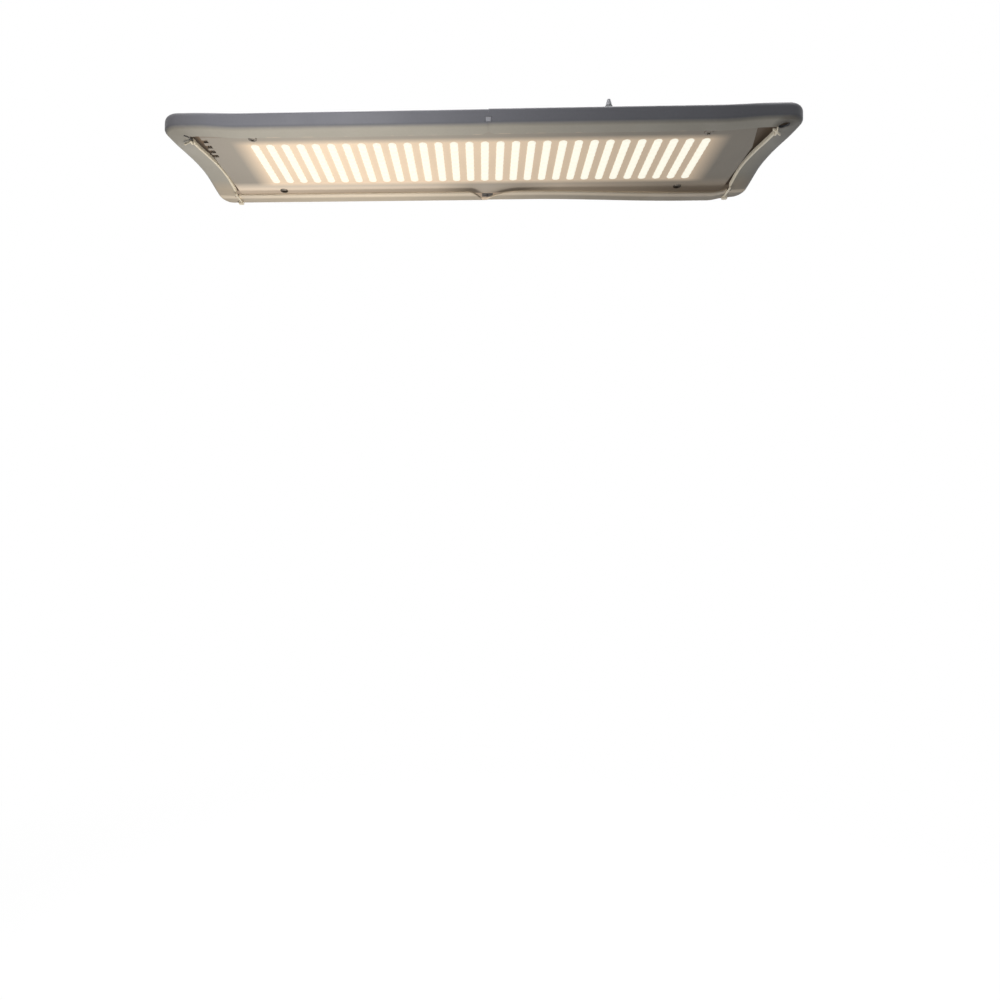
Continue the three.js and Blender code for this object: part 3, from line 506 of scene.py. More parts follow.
def area_light(name, place, target, size, power, colour):
    data = bpy.data.lights.new(name, "AREA")
    data.shape = "RECTANGLE"
    data.size, data.size_y = size
    data.energy = power
    data.color = colour
    lamp = add_object(name, data)
    lamp.location = place
    aim = Vector(target) - Vector(place)
    lamp.rotation_euler = aim.to_track_quat("-Z", "Y").to_euler()
    lamp.visible_camera = False


make_camera()
make_world()
make_floor()
for lamp_name, setting in LAMPS.items():
    area_light(lamp_name, *setting)
bpy.context.scene.view_settings.view_transform = "Standard"


# Material nodes
def linear(red, green, blue):
    """A colour written as it looks on a screen, 0 to 255, as the shader's own numbers."""
    def one(value):
        share = value / 255
        return share / 12.92 if share <= 0.04045 else ((share + 0.055) / 1.055) ** 2.4
    return (one(red), one(green), one(blue), 1)


def scaled(colour, level):
    return (*[channel * level for channel in colour[:3]], 1)


class Look:
    """One material's node tree, with short calls for the kinds of node that every finish uses."""

    def __init__(self, name, roughness=0.5, metallic=0.0, specular=0.5):
        self.material = bpy.data.materials.new(name)
        self.material.use_nodes = True
        self.tree = self.material.node_tree
        self.shader = self.tree.nodes["Principled BSDF"].inputs
        self.shader["Metallic"].default_value = metallic
        self.shader["Roughness"].default_value = roughness
        self.shader["Specular IOR Level"].default_value = specular
        self.place = self.add("TexCoord", {}).outputs

    def add(self, kind, inputs, operation=None):
        return add_node(self.tree, kind, inputs, operation)

    def noise(self, scale, detail=2.0, stretch=(1, 1, 1)):
        place = self.add("Mapping", {"Vector": self.place["Object"], "Scale": stretch})
        return self.add("TexNoise", {"Vector": place, "Scale": scale, "Detail": detail}).outputs["Fac"]

    def span(self, value, low, high, to_low=0.0, to_high=1.0):
        ends = {"From Min": low, "From Max": high, "To Min": to_low, "To Max": to_high}
        return self.add("MapRange", {**ends, "Value": value})

    def math(self, operation, first, second):
        return self.add("Math", {0: first, 1: second}, operation)

    def mix(self, share, first, second):
        node = self.add("Mix", {"Factor": share})
        node.data_type = "RGBA"
        colours = [socket for socket in node.inputs if socket.type == "RGBA"]
        for socket, value in zip(colours, (first, second)):
            feed(self.tree, socket, value)
        return [socket for socket in node.outputs if socket.type == "RGBA"][0]

    def axis(self, source, letter):
        return self.add("SeparateXYZ", {0: self.place[source]}).outputs[letter]

    def at(self, letter, *reach):
        """How far along an axis of the part's frame a place lies, spread over a reach."""
        return self.span(self.axis("Object", letter), *reach)

    def facing(self, letter, *reach):
        """How much a face is turned along an axis, spread over a reach."""
        return self.span(self.axis("Normal", letter), *reach)

    def off(self, letter, middle):
        """Distance from a place along an axis."""
        return self.math("ABSOLUTE", self.math("SUBTRACT", self.axis("Object", letter), middle), 0)

    def product(self, first, *others):
        for other in others:
            first = self.math("MULTIPLY", first, other)
        return first

    def within(self, area):
        """How far a place lies inside an area, whose changes along the axes are multiplied."""
        return self.product(*[self.at(*change) for change in area])

    def patches(self, scale, detail, low=0.0, high=1.0, stretch=(1, 1, 1)):
        """Soft noise, spread from low to high."""
        return self.span(self.noise(scale, detail, stretch), *PATCH_RANGE, low, high)

    def near(self, point, reach):
        """1 close to a point, falling to 0 as the distance grows to the first reach."""
        away = self.add("VectorMath", {0: self.place["Object"], 1: point}, "DISTANCE")
        return self.span(away.outputs["Value"], *reach)

    def bump(self, height, strength, distance):
        inputs = {"Strength": strength, "Distance": distance, "Height": height}
        feed(self.tree, self.shader["Normal"], self.add("Bump", inputs))

    def emit(self, share, dark, bright, strength=1):
        """Light of its own, from the dark colour to the bright one."""
        feed(self.tree, self.shader["Emission Color"], self.mix(share, dark, bright))
        self.shader["Emission Strength"].default_value = strength

    def colour(self, output):
        feed(self.tree, self.shader["Base Color"], output)

    def roughness(self, output):
        feed(self.tree, self.shader["Roughness"], output)


def mottled(look, tone, broad, fine, depth, grain=0.05, stretch=(1, 1, 1)):
    """A screen tone with broad soft patches and a fine grain."""
    colour = linear(*tone)
    patches = look.patches(broad, 3, stretch=stretch)
    base = look.mix(patches, scaled(colour, 1 - depth), scaled(colour, 1 + depth))
    specks = look.span(look.noise(fine, 2, stretch), *GRAIN_RANGE, 0, 2 * grain)
    return look.mix(specks, base, scaled(colour, GRAIN_SHADE))


def coat(look, tone, patches=COAT_PATCHES, depth=COAT_DEPTH):
    return mottled(look, tone, patches, COAT_GRAIN, depth)


def front_streaks(look, down):
    """Painted glints: patchy light along the front lip's inner edge."""
    patches = look.span(look.noise(1, 2, STREAK_STRETCH), *STREAK_RANGE)
    middle = look.span(look.off("X", 0), *STREAK_X)
    return look.product(down, look.within(STREAK_AREA), middle, patches)


def painted(name):
    """Satin powder coat, cooler and darker on the walls as painted shade, paler underneath as painted light
    from below, lit at the rear lip as a painted highlight and dim inside as painted shade.
    """
    look = Look(name, roughness=0.48, specular=0.3)
    down = look.facing("Z", *DOWNWARD)
    forward = look.facing("Y", *FORWARD)
    rear = look.at("Y", *REAR_Y)
    shaded_wall = coat(look, SHADED_WALL_TONE, WALL_PATCHES, DEEP_COAT)
    painted_shade = coat(look, SHADE_TONE, depth=DEEP_COAT)
    lit_edge = coat(look, LIT_TONE)
    # Painted light on the rear lip's underside, dimmer towards the right as painted shade
    lit_under_rear = look.mix(look.at("X", *REAR_RIGHT_X), coat(look, LIT_REAR_TONE), coat(look, DIMMER_REAR_RIGHT_TONE))
    # Painted light and shade: faces turned down take the lit underside tones, the rest the shaded wall tone
    tone = look.mix(down, shaded_wall, look.mix(rear, coat(look, LIT_UNDER_TONE), lit_under_rear))
    # Painted shade towards the right end
    tone = look.mix(look.at("X", *RIGHT_END_SHADE_X), tone, shaded_wall)
    # Painted shade in a spot by the right front corner, and at the left and right corners below
    tone = look.mix(look.product(look.near(SHADOW_SPOT, SHADOW_SPOT_REACH), down), tone, painted_shade)
    # Painted glints along the front lip's inner edge
    tone = look.mix(front_streaks(look, down), tone, lit_edge)
    tone = look.mix(look.within(LEFT_SHADE), tone, painted_shade)
    tone = look.mix(look.product(look.within(RIGHT_SHADE), down), tone, painted_shade)
    # Painted highlight along the rear lip
    tone = look.mix(look.product(look.within(LIT_LINE_AREA), down), tone, coat(look, LIT_LINE_TONE))
    # Painted highlight on the rear lip's forward faces
    tone = look.mix(look.product(rear, forward), tone, lit_edge)
    # Painted shade on the inside ceiling, and a painted glow there and behind the rear lip
    ceiling = look.product(look.at("Z", *CEILING_Z), look.facing("Z", *CEILING_DOWN))
    look.colour(look.mix(ceiling, tone, coat(look, SHADED_INSIDE_TONE, depth=DEEP_COAT)))
    above = look.product(ceiling, look.at("X", *CEILING_LIGHT_X))
    behind = look.product(look.within(BACK_LIGHT), forward)
    look.emit(look.math("ADD", above, behind), BLACK, INSIDE_LIGHT)
    look.roughness(look.patches(60, 3, 0.42, 0.56))
    look.bump(look.noise(900), strength=0.12, distance=0.0002)
    return look.material


def moulded(name, tone, roughness=0.5, grain_scale=1300, bump=0.15, depth=0.06, light=None):
    """Plastic or rubber with a fine grain, and light of its own where light gives a reach along X."""
    look = Look(name, roughness=roughness, specular=0.4)
    look.colour(mottled(look, tone, broad=35, fine=grain_scale / 2, depth=depth))
    look.roughness(look.patches(120, 3, roughness - SMOOTHER, roughness + ROUGHER))
    look.bump(look.noise(grain_scale), bump, distance=0.00015)
    if light:
        look.emit(look.at("X", *light), BLACK, EDGING_LIGHT)
    return look.material


def metal(name, tone, roughness=0.32, stretch=(1, 1, 1), depth=0.08):
    look = Look(name, roughness=roughness, metallic=1.0)
    look.colour(mottled(look, tone, broad=45, fine=900, depth=depth, grain=0.03, stretch=stretch))
    streaks = look.noise(350, 4, stretch)
    look.roughness(look.span(streaks, *PATCH_RANGE, roughness - 0.08, roughness + 0.12))
    look.bump(streaks, strength=0.05, distance=0.0001)
    return look.material


def solder_mask(name):
    """Pale board, warmer over the field of LED rows as painted glow, whose light spills under the rear lip as
    painted light, with painted shade along its front edge.
    """
    look = Look(name, roughness=0.55, specular=0.3)
    plain = mottled(look, BOARD_TONE, broad=20, fine=BOARD_GRAIN, depth=0.04)
    # Painted LED glow: the field warmer and paler
    glowing = mottled(look, FIELD_GLOW_TONE, broad=24, fine=BOARD_GRAIN, depth=0.05)
    # Painted shade along the front edge
    edge_shade = mottled(look, BOARD_SHADE_TONE, broad=20, fine=BOARD_GRAIN, depth=0.04)
    field = look.product(look.span(look.off("X", 0), *FIELD_X), look.within(FIELD_AREA))
    look.colour(look.mix(look.within(BOARD_EDGE_SHADE), look.mix(field, plain, glowing), edge_shade))
    notch = look.span(look.off("X", NOTCH_X), *NOTCH_SHADE)
    rear_spill = look.product(look.within(SPILL_AREA), notch)
    # Painted light spilling from the rows, on the field and under the rear lip
    look.emit(look.math("ADD", rear_spill, look.product(field, FIELD_SPILL)), BLACK, BOARD_LIGHT)
    look.bump(look.noise(600), strength=0.08, distance=0.0001)
    return look.material


def lit(name):
    """Lit phosphor, a little brighter in its middle patches."""
    look = Look(name, roughness=0.4, specular=0.3)
    look.colour(mottled(look, LENS_TONE, broad=300, fine=2400, depth=0.02))
    dimmer, brighter = (scaled(LENS_LIGHT, 1 + share) for share in (-LENS_PATCHES, LENS_PATCHES))
    look.emit(look.patches(900, 2), dimmer, brighter, LENS_LEVEL)
    look.bump(look.noise(1500), strength=0.05, distance=0.0001)
    return look.material


PAINT = painted("tray_paint")
EDGING = moulded("edging_cream", (226, 216, 194), 0.42, 900, bump=0.08, light=EDGING_LIGHT_X)
LED_DOME = lit("led_phosphor")
BOARD = solder_mask("board_mask")
PAD = moulded("pad_silicone", (154, 160, 168), roughness=0.85, bump=0.2)
ALUMINIUM = metal("spreader_aluminium", (180, 182, 185), 0.34, stretch=(0.06, 1, 1))
STEEL = metal("zinc_steel", (176, 178, 180), 0.3)
SCREW = metal("screw_dull_zinc", (128, 122, 114), 0.55, depth=0.12)
WIRE = metal("bail_wire", (184, 186, 188), 0.22)
CLIP = moulded("clip_nylon", (176, 177, 183), roughness=0.45)
DRIVER = moulded("driver_plastic", (58, 60, 65), roughness=0.55, bump=0.35, depth=0.1)
CIRCUIT = moulded("circuit_mask", (47, 107, 69), roughness=0.45)
RUBBER = moulded("grommet_rubber", (42, 43, 45), roughness=0.75, bump=0.2)
LEAD = moulded("lead_sheath", (46, 46, 48), roughness=0.6)
NYLON = moulded("gland_nylon", (82, 84, 88), roughness=0.5, bump=0.2)
SLEEVE = moulded("sleeve_grey", (212, 213, 217), roughness=0.55)
CONNECTOR = moulded("connector_shell", (232, 228, 216), roughness=0.35)


# Shapes in millimetres
def evenly(start, run, steps):
    return [start + run * i / steps for i in range(steps + 1)]


def around(sides):
    return evenly(0, 2 * pi, sides)[:-1]


def placed(x, y, z, angle=0, axis="Z"):
    """A turn about an axis, and then a move."""
    return Matrix.Translation((x, y, z)) @ Matrix.Rotation(angle, 4, axis)


class Form:
    """Points in millimetres and the faces between them, built up shape by shape."""

    def __init__(self):
        self.points = []
        self.faces = []

    def add(self, points, faces, place=None):
        start = len(self.points)
        place = place or Matrix()
        self.points.extend(place @ Vector(point) for point in points)
        self.faces.extend([start + i for i in face] for face in faces)
        return self

    def loft(self, sections, place=None, ring=False):
        """Skin over loops of as many points each, lidded at both ends unless it runs back to its start."""
        count = len(sections[0])
        total = len(sections)
        faces = []
        for i in range(total if ring else total - 1):
            row = i * count
            ahead = ((i + 1) % total) * count
            for j in range(count):
                k = (j + 1) % count
                faces.append([row + j, row + k, ahead + k, ahead + j])
        if not ring:
            faces.append(list(range(count))[::-1])
            faces.append(list(range((total - 1) * count, total * count)))
        return self.add([point for section in sections for point in section], faces, place)

    def slab(self, loop, z0, z1, edge=0.0, steps=SHORT_STEPS, place=None):
        """Flat body over loop(inset), with its top and bottom edges rounded."""
        if edge <= 0:
            sections = [[(x, y, z) for x, y in loop(0)] for z in (z0, z1)]
            return self.loft(sections, place)
        sections = []
        for end, way in ((z0, 1), (z1, -1)):
            arc = []
            for angle in evenly(0, pi / 2, steps):
                inset = edge * (1 - sin(angle))
                z = end + way * edge * (1 - cos(angle))
                arc.append([(x, y, z) for x, y in loop(inset)])
            sections.extend(arc if way > 0 else arc[::-1])
        return self.loft(sections, place)

    def box(self, x, y, z, soft=BOX_SOFT, place=None):
        """Block from (low, high) along each axis, with soft edges and corners."""
        edge, corner = soft
        middle = ((x[0] + x[1]) / 2, (y[0] + y[1]) / 2)
        loop = rounded((x[1] - x[0], y[1] - y[0]), corner, SHORT_STEPS, middle)
        return self.slab(loop, z[0], z[1], edge, BOX_EDGE_STEPS, place)

    def turned(self, profile, sides, place=None):
        """Closed profile of (radius, height) turned about Z."""
        sections = []
        for angle in around(sides):
            sections.append([(r * cos(angle), r * sin(angle), z) for r, z in profile])
        return self.loft(sections, place, ring=True)

    def tube(self, path, radius, sides, place=None):
        """Round bar along a path, with rounded ends."""
        path = [Vector(point) for point in path]
        along = [(b - a).normalized() for a, b in zip(path, path[1:])]
        along.append(along[-1])
        side = along[0].orthogonal().normalized()
        frames = []
        for i, point in enumerate(path):
            if i > 0:
                side = along[i - 1].rotation_difference(along[i]) @ side
            frames.append((point, side, along[i].cross(side)))

        def ring_at(point, first, second, size):
            return [point + size * (cos(a) * first + sin(a) * second) for a in around(sides)]

        def cap(point, outward, first, second):
            rings = []
            for j in range(1, CAP_STEPS + 1):
                angle = pi / 2 * j / (CAP_STEPS + 0.5)
                place_at = point + outward * radius * sin(angle) * CAP_SHARE
                rings.append(ring_at(place_at, first, second, radius * cos(angle)))
            return rings

        sections = cap(path[0], -along[0], *frames[0][1:])[::-1]
        sections.extend(ring_at(*each, radius) for each in frames)
        sections.extend(cap(path[-1], along[-1], *frames[-1][1:]))
        return self.loft(sections, place)

    def mesh(self, name):
        data = bpy.data.meshes.new(name)
        data.from_pydata([point * MM for point in self.points], [], self.faces)
        body = bmesh.new()
        body.from_mesh(data)
        bmesh.ops.remove_doubles(body, verts=body.verts, dist=WELD)
        bmesh.ops.recalc_face_normals(body, faces=body.faces)
        body.to_mesh(data)
        body.free()
        return data


def rounded_loop(size, radius, steps, inset=0.0, middle=(0, 0)):
    """Rectangle with rounded corners, drawn in by inset all round."""
    radius = min(radius, min(size) / 2)
    half_x = size[0] / 2 - radius
    half_y = size[1] / 2 - radius
    reach = max(radius - inset, LEAST_RADIUS)
    trim = max(inset - radius, 0)
    points = []
    for sign_x, sign_y, start in ((1, 1, 0), (-1, 1, 1), (-1, -1, 2), (1, -1, 3)):
        for i in range(steps + 1):
            angle = pi / 2 * (start + i / steps)
            x = sign_x * (half_x - trim) + reach * cos(angle)
            y = sign_y * (half_y - trim) + reach * sin(angle)
            points.append((middle[0] + x, middle[1] + y))
    return points


def rounded(size, radius, steps, middle=(0, 0)):
    """The loop of a rectangle with rounded corners, for slab."""
    return lambda inset: rounded_loop(size, radius, steps, inset, middle)


def circle(radius, sides):
    return [(radius * cos(angle), radius * sin(angle)) for angle in around(sides)]


def centred(middle, width):
    return (middle - width / 2, middle + width / 2)


def carved(body, tool, operation="DIFFERENCE"):
    """The mesh body, cut by the mesh tool or joined with it."""
    holder, cutter = add_object("carved", body), add_object("cutter", tool)
    step = holder.modifiers.new("cut", "BOOLEAN")
    step.operation = operation
    step.solver = "EXACT"
    step.object = cutter
    bpy.context.view_layer.update()
    done = holder.evaluated_get(bpy.context.evaluated_depsgraph_get())
    result = bpy.data.meshes.new_from_object(done)
    bpy.data.objects.remove(holder)
    bpy.data.objects.remove(cutter)
    return result


def piece(node, part, mesh, look, sharp=PIECE_SHARP, body="panel"):
    """A finished mesh as the piece that stands for a node of the CAD."""
    mesh.materials.clear()
    mesh.materials.append(look)
    for face in mesh.polygons:
        face.use_smooth = True
        face.material_index = 0
    mesh.set_sharp_from_angle(angle=radians(sharp))
    thing = add_object(f"{node}_{part}", mesh)
    weigh = thing.modifiers.new("weighted normals", "WEIGHTED_NORMAL")
    weigh.keep_sharp = True
    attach(thing, body)
    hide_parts(node)


def mirror(mesh):
    """Turn a mesh over from the right end to the left."""
    mesh.transform(Matrix.Scale(-1, 4, (1, 0, 0)))
    mesh.flip_normals()


# Tray halves
def ramp(share):
    share = min(1, max(0, share))
    return share * share * (3 - 2 * share)


def arch(y):
    return END_ARCH * (1 + cos(pi * y / HALF_WIDTH)) / 2


def sweep(x, y):
    return END_RISE * ramp((x - RISE_START) / RISE_RUN) * (1 - ramp((y - RISE_END_Y) / RISE_FADE))


def taper(y):
    return END_TAPER * ramp((y + TAPER_START) / TAPER_RUN)


def lip_edge_x(half, y):
    return HALF_LENGTH - END_LIP[half] + LIP_FLARE * (1 - taper(y) / END_TAPER)


def sag(half, x):
    if half == "left":
        return 0
    return SAG_DEPTH * ramp((x - SAG_START) / SAG_RUN) * (1 - ramp((x - SAG_END) / SAG_BACK))


def rear_lip(half, from_seam):
    gap, run, curve = REAR_NOTCH[half]
    share = min(1, max(0, (from_seam - gap) / run))
    return REAR_LIP - NOTCH_DEPTH * (1 - share) ** curve


class Station:
    """A place on the path round one half, with the inner edges of its lip and its top flange."""

    def __init__(self, x, y, inward, lip_edge, flange_edge, hem=HEM, drop=0):
        self.outer = Vector((x + inward[0] * taper(y), y))
        self.inward = Vector(inward)
        self.lip_edge = Vector(lip_edge)
        self.flange_edge = Vector(flange_edge)
        self.lift = sweep(x, y)
        self.rise = self.lift + arch(y) - drop
        self.hem = hem
        spread = TOP_CORNER_RADIUS - TOP_RADIUS
        self.top_radius = TOP_RADIUS + spread * ramp((x - RISE_START) / RISE_RUN)

    def section(self, bottom, top):
        """Round the outside from the flange, along the lip, round its hem and back along the inside."""
        under = bottom + self.rise
        low = under + LOW_RADIUS
        round_over = self.top_radius
        high = top + self.lift - round_over
        points = [Vector((*self.flange_edge, top))]

        def arc(centre, height, radius, start, end):
            for turn in evenly(start, end - start, ARC_STEPS):
                angle = pi * turn
                place = self.outer + self.inward * (centre + radius * cos(angle))
                points.append(Vector((*place, height + radius * sin(angle))))

        arc(round_over, high, round_over, 0.5, 1)
        arc(LOW_RADIUS, low, LOW_RADIUS, 1, 1.5)
        flat = self.lip_edge - Vector(points[-1][:2])
        way = flat.normalized()
        reach = SHEET / 2
        nose = min(reach, flat.length - HEM_CLEAR)
        middle = self.lip_edge - way * nose
        for i in range(ARC_STEPS + 1):
            angle = pi * (i / ARC_STEPS - 0.5)
            place = middle + way * nose * cos(angle)
            swell = self.hem * (1 + cos(2 * angle)) / 2
            bead = under + reach + (reach + swell) * sin(angle)
            points.append(Vector((*place, bead)))
        arc(LOW_RADIUS, low, LOW_RADIUS - SHEET, 1.5, 1)
        arc(round_over, high, round_over - SHEET, 1, 0.5)
        points.append(Vector((*self.flange_edge, top - SHEET)))
        return points


def side_station(x, side, lip, drop=0):
    y = side * HALF_WIDTH
    return Station(x, y, (0, -side), (x, y - side * lip), (x, y - side * FLANGE), drop=drop)


def corner_stations(half, side, lip):
    lip_y = side * (HALF_WIDTH - lip - OPENING_RADIUS)
    flange_y = side * (HALF_WIDTH - FLANGE - OPENING_RADIUS)
    centre = Vector((HALF_LENGTH - CORNER_RADIUS, side * (HALF_WIDTH - CORNER_RADIUS)))
    lip_centre = Vector((lip_edge_x(half, lip_y) - OPENING_RADIUS, lip_y))
    flange_centre = Vector((HALF_LENGTH - taper(flange_y) - FLANGE - OPENING_RADIUS, flange_y))
    stops = []
    for share in evenly(0, 1, CORNER_STEPS):
        angle = pi / 2 * (share - 1 if side < 0 else share)
        way = Vector((cos(angle), sin(angle)))
        inset = OPENING_RADIUS * way
        outer = centre + CORNER_RADIUS * way
        stops.append(Station(*outer, -way, lip_centre + inset, flange_centre + inset, hem=0))
    return stops


def end_station(half, y):
    flange_x = HALF_LENGTH - taper(y) - FLANGE
    return Station(HALF_LENGTH, y, (-1, 0), (lip_edge_x(half, y), y), (flange_x, y), hem=0)


def edging_places():
    return evenly(-EDGING_Y, 2 * EDGING_Y, END_STEPS)


def tray_path(half, seam_face):
    gap, run, _ = REAR_NOTCH[half]
    rises = evenly(RISE_START, RISE_RUN, LONG_STEPS)
    stops = [
        side_station(seam_face, -1, FRONT_LIP - FRONT_NOTCH),
        side_station(seam_face + FRONT_NOTCH_RUN, -1, FRONT_LIP),
        *[side_station(x, -1, FRONT_LIP) for x in rises],
        *corner_stations(half, -1, FRONT_LIP),
        *[end_station(half, y) for y in edging_places()],
        *corner_stations(half, 1, REAR_LIP),
    ]
    inner = seam_face + gap + run
    rears = [*evenly(inner, RISE_START - inner, ARC_STEPS)[1:-1], *rises]
    stops.extend(side_station(x, 1, REAR_LIP, sag(half, x)) for x in rears[::-1])
    for place in evenly(gap, run, NOTCH_STEPS)[::-1]:
        stops.append(side_station(seam_face + place, 1, rear_lip(half, place)))
    if gap > 0:
        stops.append(side_station(seam_face, 1, rear_lip(half, 0)))
    return stops


def diagonal_slot(form, side, size, z, place):
    """A slot with round ends, turned halfway between the side and the end."""
    form.slab(rounded(size, size[1] / 2, LONG_STEPS), *z, place=placed(*place, 0, side * pi / 4))


def tray_cutter(half, seam_at):
    """The relief cuts at the lips' corners, the oval and the clips' pockets."""
    bottom = lip_level(half) - CUT_PAST
    z = (bottom, bottom + SHEET + END_ARCH + END_RISE + 2 * CUT_PAST)
    form = Form()
    for side, lip in ((-1, FRONT_LIP), (1, REAR_LIP)):
        y = side * (HALF_WIDTH - lip)
        if half == "right" and side < 0:
            place = (HALF_LENGTH - OVAL_INSET_X, -HALF_WIDTH + OVAL_INSET_Y)
            diagonal_slot(form, side, OVAL, z, place)
        else:
            diagonal_slot(form, side, RELIEF, z, (lip_edge_x(half, y), y))
        outer = side * (HALF_WIDTH + CUT_PAST)
        pocket = side * (HALF_WIDTH - CLIP_PLATE - PLAY)
        x = centred(seam_at, CLIP_WIDTH + 2 * PLAY)
        height = (CLIP_Z - PLAY, CLIP_Z + CLIP_HEIGHT + PLAY)
        form.box(x, sorted((outer, pocket)), height, FINE_SOFT)
    return form.mesh("tray cutter")


def make_tray(half):
    side = SIDES[half]
    bottom = lip_level(half)
    top = top_level(half)
    seam_face = side * SEAM_X + SEAM_GAP / 2
    sections = [stop.section(bottom, top) for stop in tray_path(half, seam_face)]
    count = len(sections[0])
    total = len(sections)
    faces = []
    for i in range(total - 1):
        for j in range(count - 1):
            a = i * count + j
            faces.append([a, a + 1, a + count + 1, a + count])
    last = (total - 1) * count
    faces.append([i * count for i in range(total)])
    faces.append([i * count + count - 1 for i in range(total)])
    faces.append([*range(count), *range(last + count - 1, last - 1, -1)])
    form = Form()
    form.add([point for section in sections for point in section], faces)
    mesh = carved(form.mesh("tray"), tray_cutter(half, side * SEAM_X))
    if side < 0:
        mirror(mesh)
    piece(f"tray_{half}", "shell", mesh, PAINT, TRAY_SHARP)


# Edging
def arc_points(middle, radius, start, steps):
    """A quarter turn from start, in quarter turns, about middle."""
    angles = evenly(pi / 2 * start, pi / 2, steps)
    return [(middle[0] + radius * cos(a), middle[1] + radius * sin(a)) for a in angles]


def channel_loop():
    """The edging's section over the lip's edge: a U with a rounded back and rounded leg tips."""
    back = -PLAY - EDGING_WEB + CHANNEL_ROUND
    top = SHEET + PLAY + EDGING_LEG
    low = -EDGING_LEG - PLAY
    tip = EDGING_LEG / 2
    tip_x = EDGING_GRIP - tip
    return [
        *arc_points((back, top - CHANNEL_ROUND), CHANNEL_ROUND, 1, CHANNEL_STEPS),
        *arc_points((back, low + CHANNEL_ROUND), CHANNEL_ROUND, 2, CHANNEL_STEPS),
        *arc_points((tip_x, low + tip), tip, 3, SHORT_STEPS),
        *arc_points((tip_x, low + EDGING_LEG - tip), tip, 0, SHORT_STEPS),
        (-PLAY, -PLAY),
        (-PLAY, SHEET + PLAY),
        *arc_points((tip_x, top - EDGING_LEG + tip), tip, 3, SHORT_STEPS),
        *arc_points((tip_x, top - tip), tip, 0, SHORT_STEPS),
    ]


def make_edging(half):
    side = SIDES[half]
    bottom = lip_level(half)

    def rise(y):
        return bottom + sweep(HALF_LENGTH, y) + arch(y)

    form = Form()
    sections = []
    for y in edging_places():
        edge = lip_edge_x(half, y)
        sections.append([(edge + x, y, rise(y) + z) for x, z in channel_loop()])
    form.loft(sections)
    front_top = bottom + END_RISE - PLAY
    rear_top = bottom - PLAY
    front_x = lip_edge_x(half, -EDGING_Y) - PLAY - EDGING_WEB
    rear_x = lip_edge_x(half, EDGING_Y) - PLAY - EDGING_WEB
    front_neck = (-EDGING_Y, -EDGING_Y + NECK_LENGTH)
    rear_neck = (EDGING_Y - NECK_LENGTH, EDGING_Y)
    front_tail = (FRONT_TAIL_Y, front_neck[1])
    rear_tail = (rear_neck[0], REAR_FOOT_Y - FOOT_LAP)
    for x, tail, neck, top, above in (
        (front_x, front_tail, front_neck, front_top, FRONT_NECK_RISE),
        (rear_x, rear_tail, rear_neck, rear_top, REAR_NECK_RISE),
    ):
        form.box((x, x + TAIL_WIDTH), tail, (top - TAIL_HEIGHT, top), TAIL_SOFT)
        form.box((x, x + EDGING_WEB), neck, (top - NECK_SINK, rise(EDGING_Y) + above), FINE_SOFT)
    foot_x = (rear_x - FOOT_WIDTH / 4, rear_x + FOOT_WIDTH)
    form.box(foot_x, (REAR_FOOT_Y - FOOT_REACH, REAR_FOOT_Y), (0, rear_top), FOOT_SOFT)
    for turn, share in PRONGS[half]:
        place = placed(front_x + TAIL_WIDTH / 2, FRONT_TAIL_Y + PRONG_WIDTH, 0, radians(-turn))
        reach = (-PRONG_LENGTH * share, 0)
        height = (front_top - TAIL_HEIGHT, front_top)
        form.box(centred(0, PRONG_WIDTH), reach, height, PRONG_SOFT, place)
    mesh = form.mesh("edging")
    if side < 0:
        mirror(mesh)
    piece(f"end_edging_{half}", "trim", mesh, EDGING, EDGING_SHARP)


# LED rows
def make_row(index):
    """One row: a strip of lens packages that run together, with a dip between neighbours and round ends."""
    x = ROWS_X + (index - (ROW_COUNT - 1) / 2) * ROW_PITCH
    half_width = ROW_WIDTH / 2
    places = set(evenly(-HALF_ROW, 2 * HALF_ROW, LEDS_PER_ROW * ARC_STEPS))
    for share in END_SHARES:
        places.update((-HALF_ROW * (1 - share), HALF_ROW * (1 - share)))
    sections = []
    for y in sorted(places):
        to_end = HALF_ROW - abs(y)
        swell = (1 + cos(2 * pi * (y / LED_PITCH - 0.5))) / 2
        wide = half_width * (WAIST_SHARE + (1 - WAIST_SHARE) * swell)
        if to_end < half_width:
            wide *= sqrt(max(LEAST_WIDTH ** 2, 1 - (1 - to_end / half_width) ** 2))
        high = LED_NECK + (LED_HEIGHT - LED_NECK) * swell
        high *= END_HEIGHT + (1 - END_HEIGHT) * min(1, sqrt(to_end / END_ROUND))
        loop = []
        for j in range(LENS_SIDES + 1):
            angle = pi * j / LENS_SIDES
            down = high * sin(angle) ** LENS_POWER if 0 < j < LENS_SIDES else 0
            loop.append((x + wide * cos(angle), ROWS_Y + y, BOARD_Z - down))
        sections.append(loop)
    mesh = Form().loft(sections).mesh("row")
    piece(f"led_row_{index + 1:02d}", "lenses", mesh, LED_DOME, LENS_SHARP)


# Fasteners
def domed(radius, height, edge=HEAD_EDGE):
    """Profile of a low domed head that sits on z = 0."""
    points = [(0, 0), (radius, 0), (radius, edge)]
    for angle in evenly(0, pi / 2, ARC_STEPS)[1:-1]:
        points.append((radius * cos(angle), edge + (height - edge) * sin(angle)))
    points.append((0, height))
    return points


